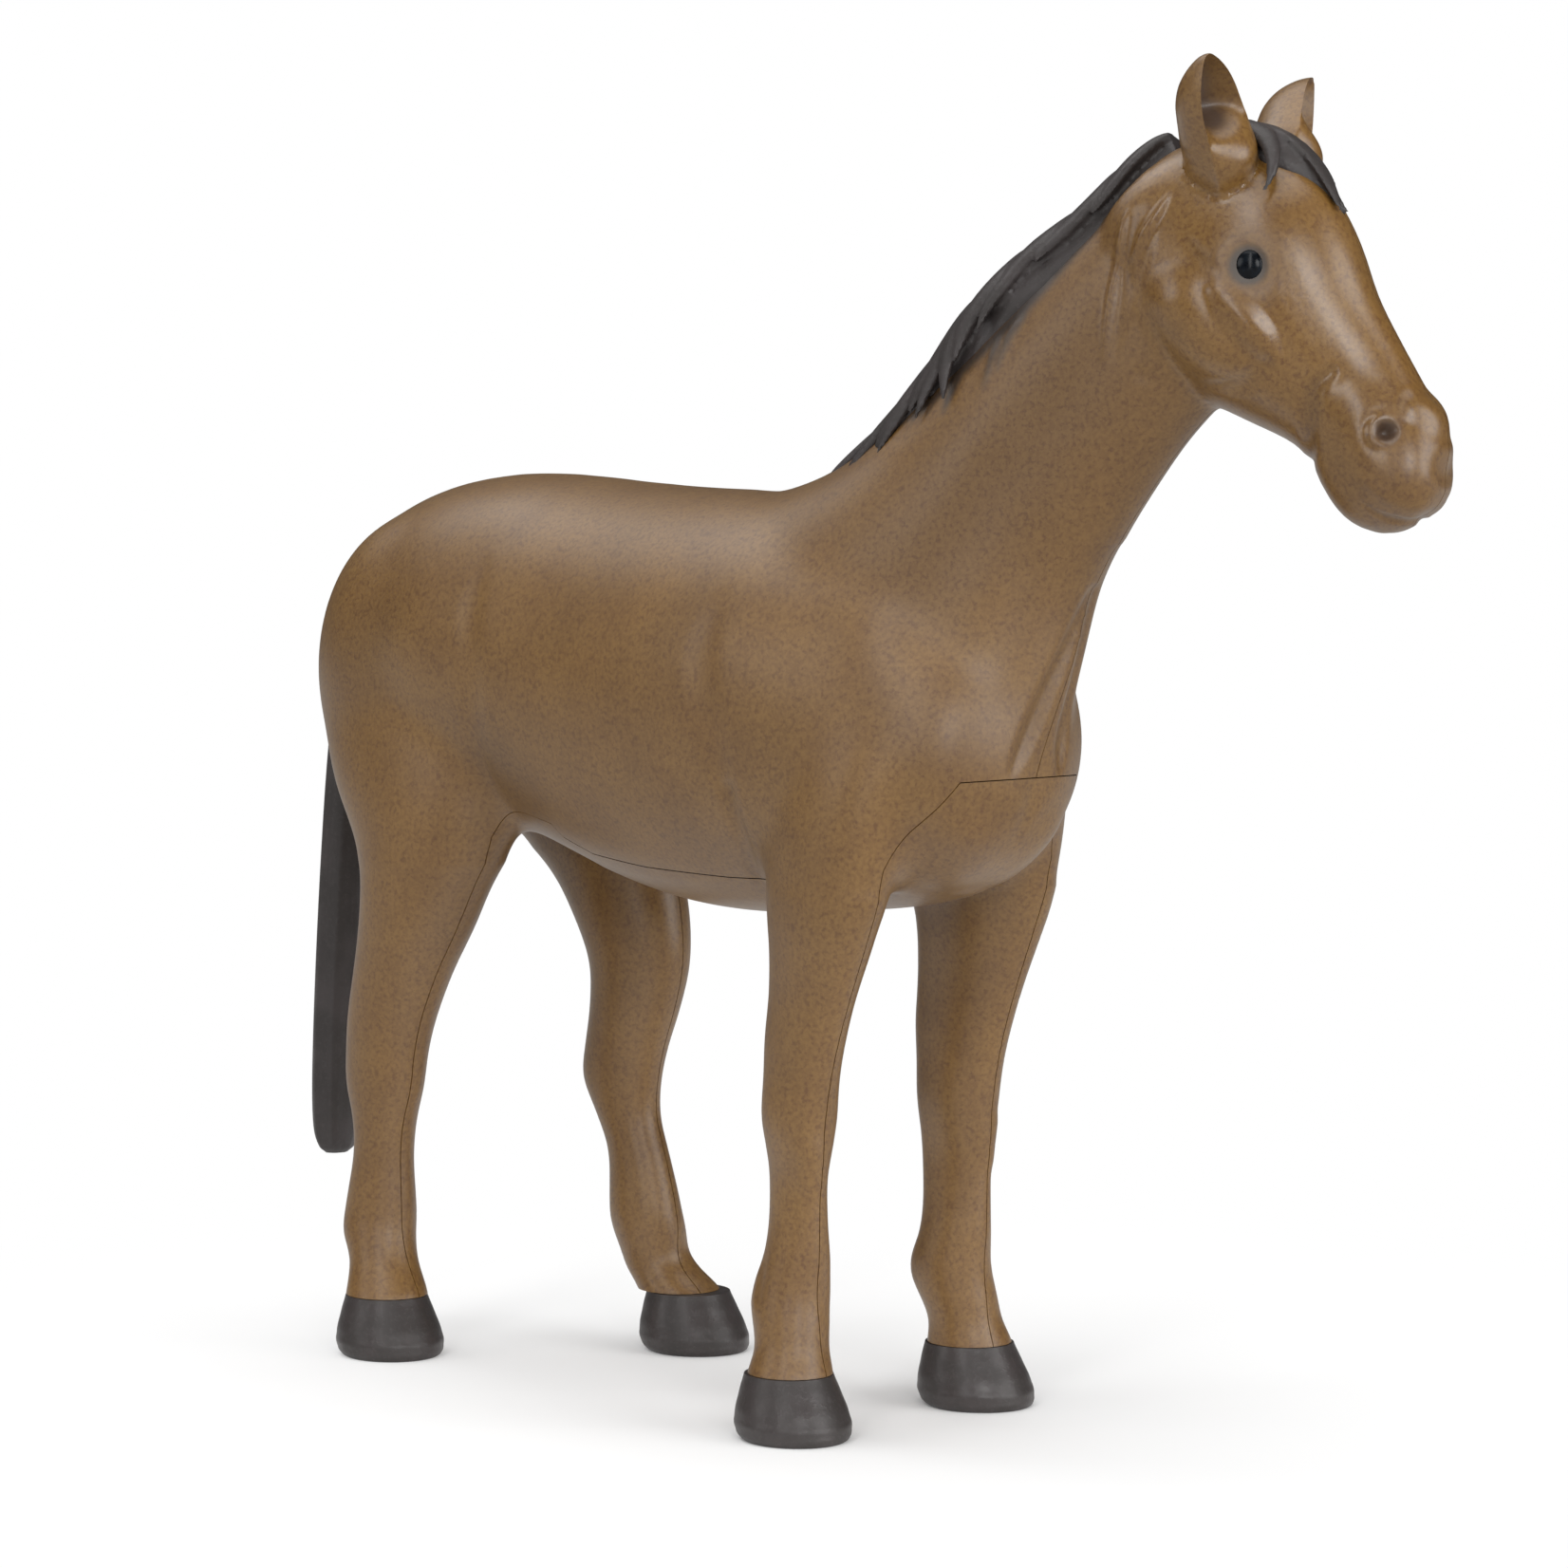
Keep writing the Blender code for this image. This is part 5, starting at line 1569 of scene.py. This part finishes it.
def plastic(tree, height, bump_strength, settings, links=()):
    """Principled shader with a bump 0.1 mm deep."""
    bump = add_node(tree, "ShaderNodeBump", {"Strength": bump_strength, "Distance": 0.0001},
                    {"Height": height})
    links = {**dict(links), "Normal": bump.outputs["Normal"]}
    return add_node(tree, "ShaderNodeBsdfPrincipled", settings, links).outputs["BSDF"]


def stretch(tree, value, low, high):
    """A nought to one value stretched between two levels."""
    made = add_node(tree, "ShaderNodeMapRange", {"To Min": low, "To Max": high},
                    {"Value": value})
    return made.outputs["Result"]


def attribute(tree, name):
    """One of the numbers that the pieces carry."""
    return add_node(tree, "ShaderNodeAttribute", {"attribute_name": name}).outputs["Fac"]


def coat_material():
    """Moulded ABS under a sprayed brown coat: semi-gloss, lightly mottled, with specks."""
    colour = colours()
    material, tree, place = new_material("sprayed_abs_coat")
    # The spray lies thicker in patches about 16 mm wide
    patches = grain(tree, place, 0.016, 0.36, 0.68, 3, top=0.5)
    base = colour_mix(tree, patches, colour.coat, colour.coat_deep_and_shade)
    clouds = grain(tree, place, 0.006, 0.35, 0.7, 3, top=0.35)
    base = colour_mix(tree, clouds, base, colour.speck, "MULTIPLY")
    # Painted shade: the coat darkens to the deep colour in creases, around the eyes, along the
    # neck and on the thigh
    base = colour_mix(tree, attribute(tree, "shade"), base, colour.coat_deep_and_shade)
    # Spray specks are about 0.15 mm, drawn at 0.45 mm so that they show
    specks = grain(tree, place, 0.00045, 0.5, 0.67, top=0.9)
    base = colour_mix(tree, specks, base, colour.speck, "MULTIPLY")
    # A finer grain breaks up the colour between the specks
    fine = grain(tree, place, 0.0004, 0.36, 0.64, top=0.6)
    base = colour_mix(tree, fine, base, colour.speck, "MULTIPLY")
    # The pit mark is painted shade; the lids' ring and the spray beside the mane are the
    # coat's own paint
    for mark, paint_of in (("pit", colour.pit), ("lid", colour.lid), ("spray", colour.trim)):
        base = colour_mix(tree, attribute(tree, mark), base, paint_of)
    # The spray dries glossier over the cheeks and forehead
    sheen = attribute(tree, "sheen")
    # Paint skin with the texture of fine orange peel, 0.8 mm apart
    peel = grain(tree, place, 0.0008, 0.2, 0.8)
    shader = plastic(tree, peel, 0.12, {"IOR": 1.5, "Coat Weight": 0.7},
                     {"Base Color": base, "Roughness": stretch(tree, sheen, 0.46, 0.3),
                      "Coat Roughness": stretch(tree, sheen, 0.42, 0.2)})
    add_node(tree, "ShaderNodeOutputMaterial", (), {"Surface": shader})
    return material


def dark_material(name, spacing, dust, speck, rough, smooth, bump):
    """Moulded dark grey brown PVC with dusty patches and a fine grain."""
    colour = colours()
    material, tree, place = new_material(name)
    patches = grain(tree, place, spacing, 0.35, 0.7, 3)
    base = colour_mix(tree, stretch(tree, patches, 0, dust), colour.trim, colour.trim_pale)
    specks = grain(tree, place, 0.0004, 0.5, 0.72)
    base = colour_mix(tree, stretch(tree, specks, 0, speck), base, colour.trim_pale)
    shader = plastic(tree, specks, bump, {"IOR": 1.52},
                     {"Base Color": base, "Roughness": stretch(tree, patches, rough, smooth)})
    add_node(tree, "ShaderNodeOutputMaterial", (), {"Surface": shader})
    return material


def trim_material():
    """Moulded soft PVC: satin, with a dusty spray in patches 5 mm wide."""
    return dark_material("satin_pvc_trim", 0.005, 0.5, 0.3, 0.5, 0.4, 0.15)


def hoof_material():
    """Moulded PVC hoof: the same dark plastic, rubbed a little smoother, patches 3 mm."""
    return dark_material("satin_pvc_hoof", 0.003, 0.4, 0.35, 0.46, 0.34, 0.12)


def eye_material():
    """Polished black ABS bead: a wet gloss that mirrors the studio."""
    material, tree, place = new_material("polished_abs_bead")
    cloud = grain(tree, place, 0.0012, 0.3, 0.7)
    base = colour_mix(tree, stretch(tree, cloud, 0, 0.3), colours().eye, colours().eye_pale)
    shader = plastic(tree, cloud, 0.01, {"IOR": 1.3},
                     {"Base Color": base, "Roughness": stretch(tree, cloud, 0.16, 0.22)})
    add_node(tree, "ShaderNodeOutputMaterial", (), {"Surface": shader})
    return material


def make_floor():
    """A pale floor disc that fades to the white of the backdrop away from the horse."""
    bpy.ops.object.select_all(action="DESELECT")
    bpy.ops.mesh.primitive_circle_add(vertices=96, radius=FLOOR_RADIUS, fill_type="NGON")
    floor = bpy.context.object
    floor.name = "studio_floor"
    edit(floor, "FACE", None, bpy.ops.mesh.inset, thickness=FLOOR_RADIUS / 2, depth=0)
    material, tree, place = new_material("painted_studio_floor")
    reach = add_node(tree, "ShaderNodeVectorMath", {"operation": "LENGTH"}, {0: place})
    fade = add_node(tree, "ShaderNodeMapRange",
                    {"From Max": FLOOR_FADE_END, "interpolation_type": "SMOOTHSTEP"},
                    {"Value": reach.outputs["Value"]})
    # Painted board: matt and even, with a trace of roller texture 2 mm apart
    roller = add_node(tree, "ShaderNodeTexNoise", {"Scale": 1 / 0.002, "Detail": 2.0},
                      {"Vector": place})
    board = plastic(tree, roller.outputs["Fac"], 0.02,
                    {"Base Color": (*colours().floor, 1), "Roughness": 0.7})
    seen = add_node(tree, "ShaderNodeLightPath").outputs["Is Camera Ray"]
    glow = add_node(tree, "ShaderNodeEmission", {"Color": WHITE},
                    {"Strength": stretch(tree, seen, FLOOR_BOUNCE, 1)})
    mix = add_node(tree, "ShaderNodeMixShader", (),
                   {0: fade.outputs["Result"], 1: board, 2: glow.outputs["Emission"]})
    add_node(tree, "ShaderNodeOutputMaterial", (), {"Surface": mix.outputs["Shader"]})
    floor.data.materials.append(material)


def make_lamps():
    """Large soft lamps above, in front, at both sides and behind."""
    for name, place, size, power, gloss in LAMPS:
        light = bpy.data.lights.new(name, "AREA")
        light.shape = "ELLIPSE"
        light.size, light.size_y = size
        light.energy = power
        light.specular_factor = gloss
        lamp = add_object(name, light)
        lamp.location = place
        aim = Vector(LAMP_AIM) - Vector(place)
        lamp.rotation_euler = aim.to_track_quat("-Z", "Y").to_euler()


def make_surroundings():
    """A white backdrop for the camera and through glass, a dim one for reflections, and a
    softer light for the rest.
    """
    world = bpy.data.worlds.new("studio_backdrop")
    bpy.context.scene.world = world
    world.use_nodes = True
    tree = world.node_tree
    tree.nodes.clear()
    path = add_node(tree, "ShaderNodeLightPath").outputs
    seen = add_node(tree, "ShaderNodeMath", {"operation": "MAXIMUM"},
                    {0: path["Is Camera Ray"], 1: path["Is Transmission Ray"]})
    lit, mirrored, white = (
        add_node(tree, "ShaderNodeBackground",
                 {"Color": WHITE, "Strength": strength}).outputs["Background"]
        for strength in (WORLD_LIGHT, WORLD_GLOSS, 1))
    gloss = add_node(tree, "ShaderNodeMixShader", (),
                     {0: path["Is Glossy Ray"], 1: lit, 2: mirrored})
    mix = add_node(tree, "ShaderNodeMixShader", (),
                   {0: seen.outputs["Value"], 1: gloss.outputs["Shader"], 2: white})
    add_node(tree, "ShaderNodeOutputWorld", (), {"Surface": mix.outputs["Shader"]})


def make_camera():
    """A long lens at the photograph's viewing angle."""
    camera = add_object("camera", bpy.data.cameras.new("camera"))
    camera.data.sensor_width = 36
    camera.data.lens = CAMERA_LENS
    camera.data.clip_start = 0.01
    back = Vector((math.sin(CAMERA_AZIMUTH) * math.cos(CAMERA_ELEVATION),
                   -math.cos(CAMERA_AZIMUTH) * math.cos(CAMERA_ELEVATION),
                   math.sin(CAMERA_ELEVATION)))
    target = Vector(np.array(CAMERA_TARGET) * MM + solids_shift())
    camera.location = target + back * CAMERA_DISTANCE
    camera.rotation_euler = (-back).to_track_quat("-Z", "Y").to_euler()
    bpy.context.scene.camera = camera


class HORSE_PT_panel(bpy.types.Panel):
    """The horse's sizes, colours and modelling steps"""
    bl_idname = "HORSE_PT_panel"
    bl_label = "Toy Horse"
    bl_space_type = "VIEW_3D"
    bl_region_type = "UI"
    bl_category = "Toy Horse"

    def draw(self, context):
        for group in (context.scene.horse_sizes, context.scene.horse_colours):
            box = self.layout.box()
            for name in group.bl_rna.properties.keys():
                if name not in ("rna_type", "name"):
                    box.prop(group, name)
        for step in STEPS:
            self.layout.operator(step)


STEPS = ("toy_horse.stage", "toy_horse.mane", "toy_horse.forelock", "toy_horse.tail",
         "toy_horse.eyes", "toy_horse.hooves", "toy_horse.coat", "toy_horse.turn")
CLASSES = (HorseSizes, HorseColours, HORSE_OT_stage, HORSE_OT_mane, HORSE_OT_forelock,
           HORSE_OT_tail, HORSE_OT_eyes, HORSE_OT_hooves, HORSE_OT_coat, HORSE_OT_turn,
           HORSE_PT_panel)


def register():
    """Add the classes and their settings to Blender."""
    for item in CLASSES:
        bpy.utils.register_class(item)
    bpy.types.Scene.horse_sizes = PointerProperty(type=HorseSizes)
    bpy.types.Scene.horse_colours = PointerProperty(type=HorseColours)


def unregister():
    """Take the settings and classes out of Blender again."""
    del bpy.types.Scene.horse_sizes
    del bpy.types.Scene.horse_colours
    for item in reversed(CLASSES):
        bpy.utils.unregister_class(item)


def main():
    """Register the steps and run them in order."""
    register()
    for step in STEPS:
        group, name = step.split(".")
        getattr(getattr(bpy.ops, group), name)()


if __name__ == "__main__":
    main()
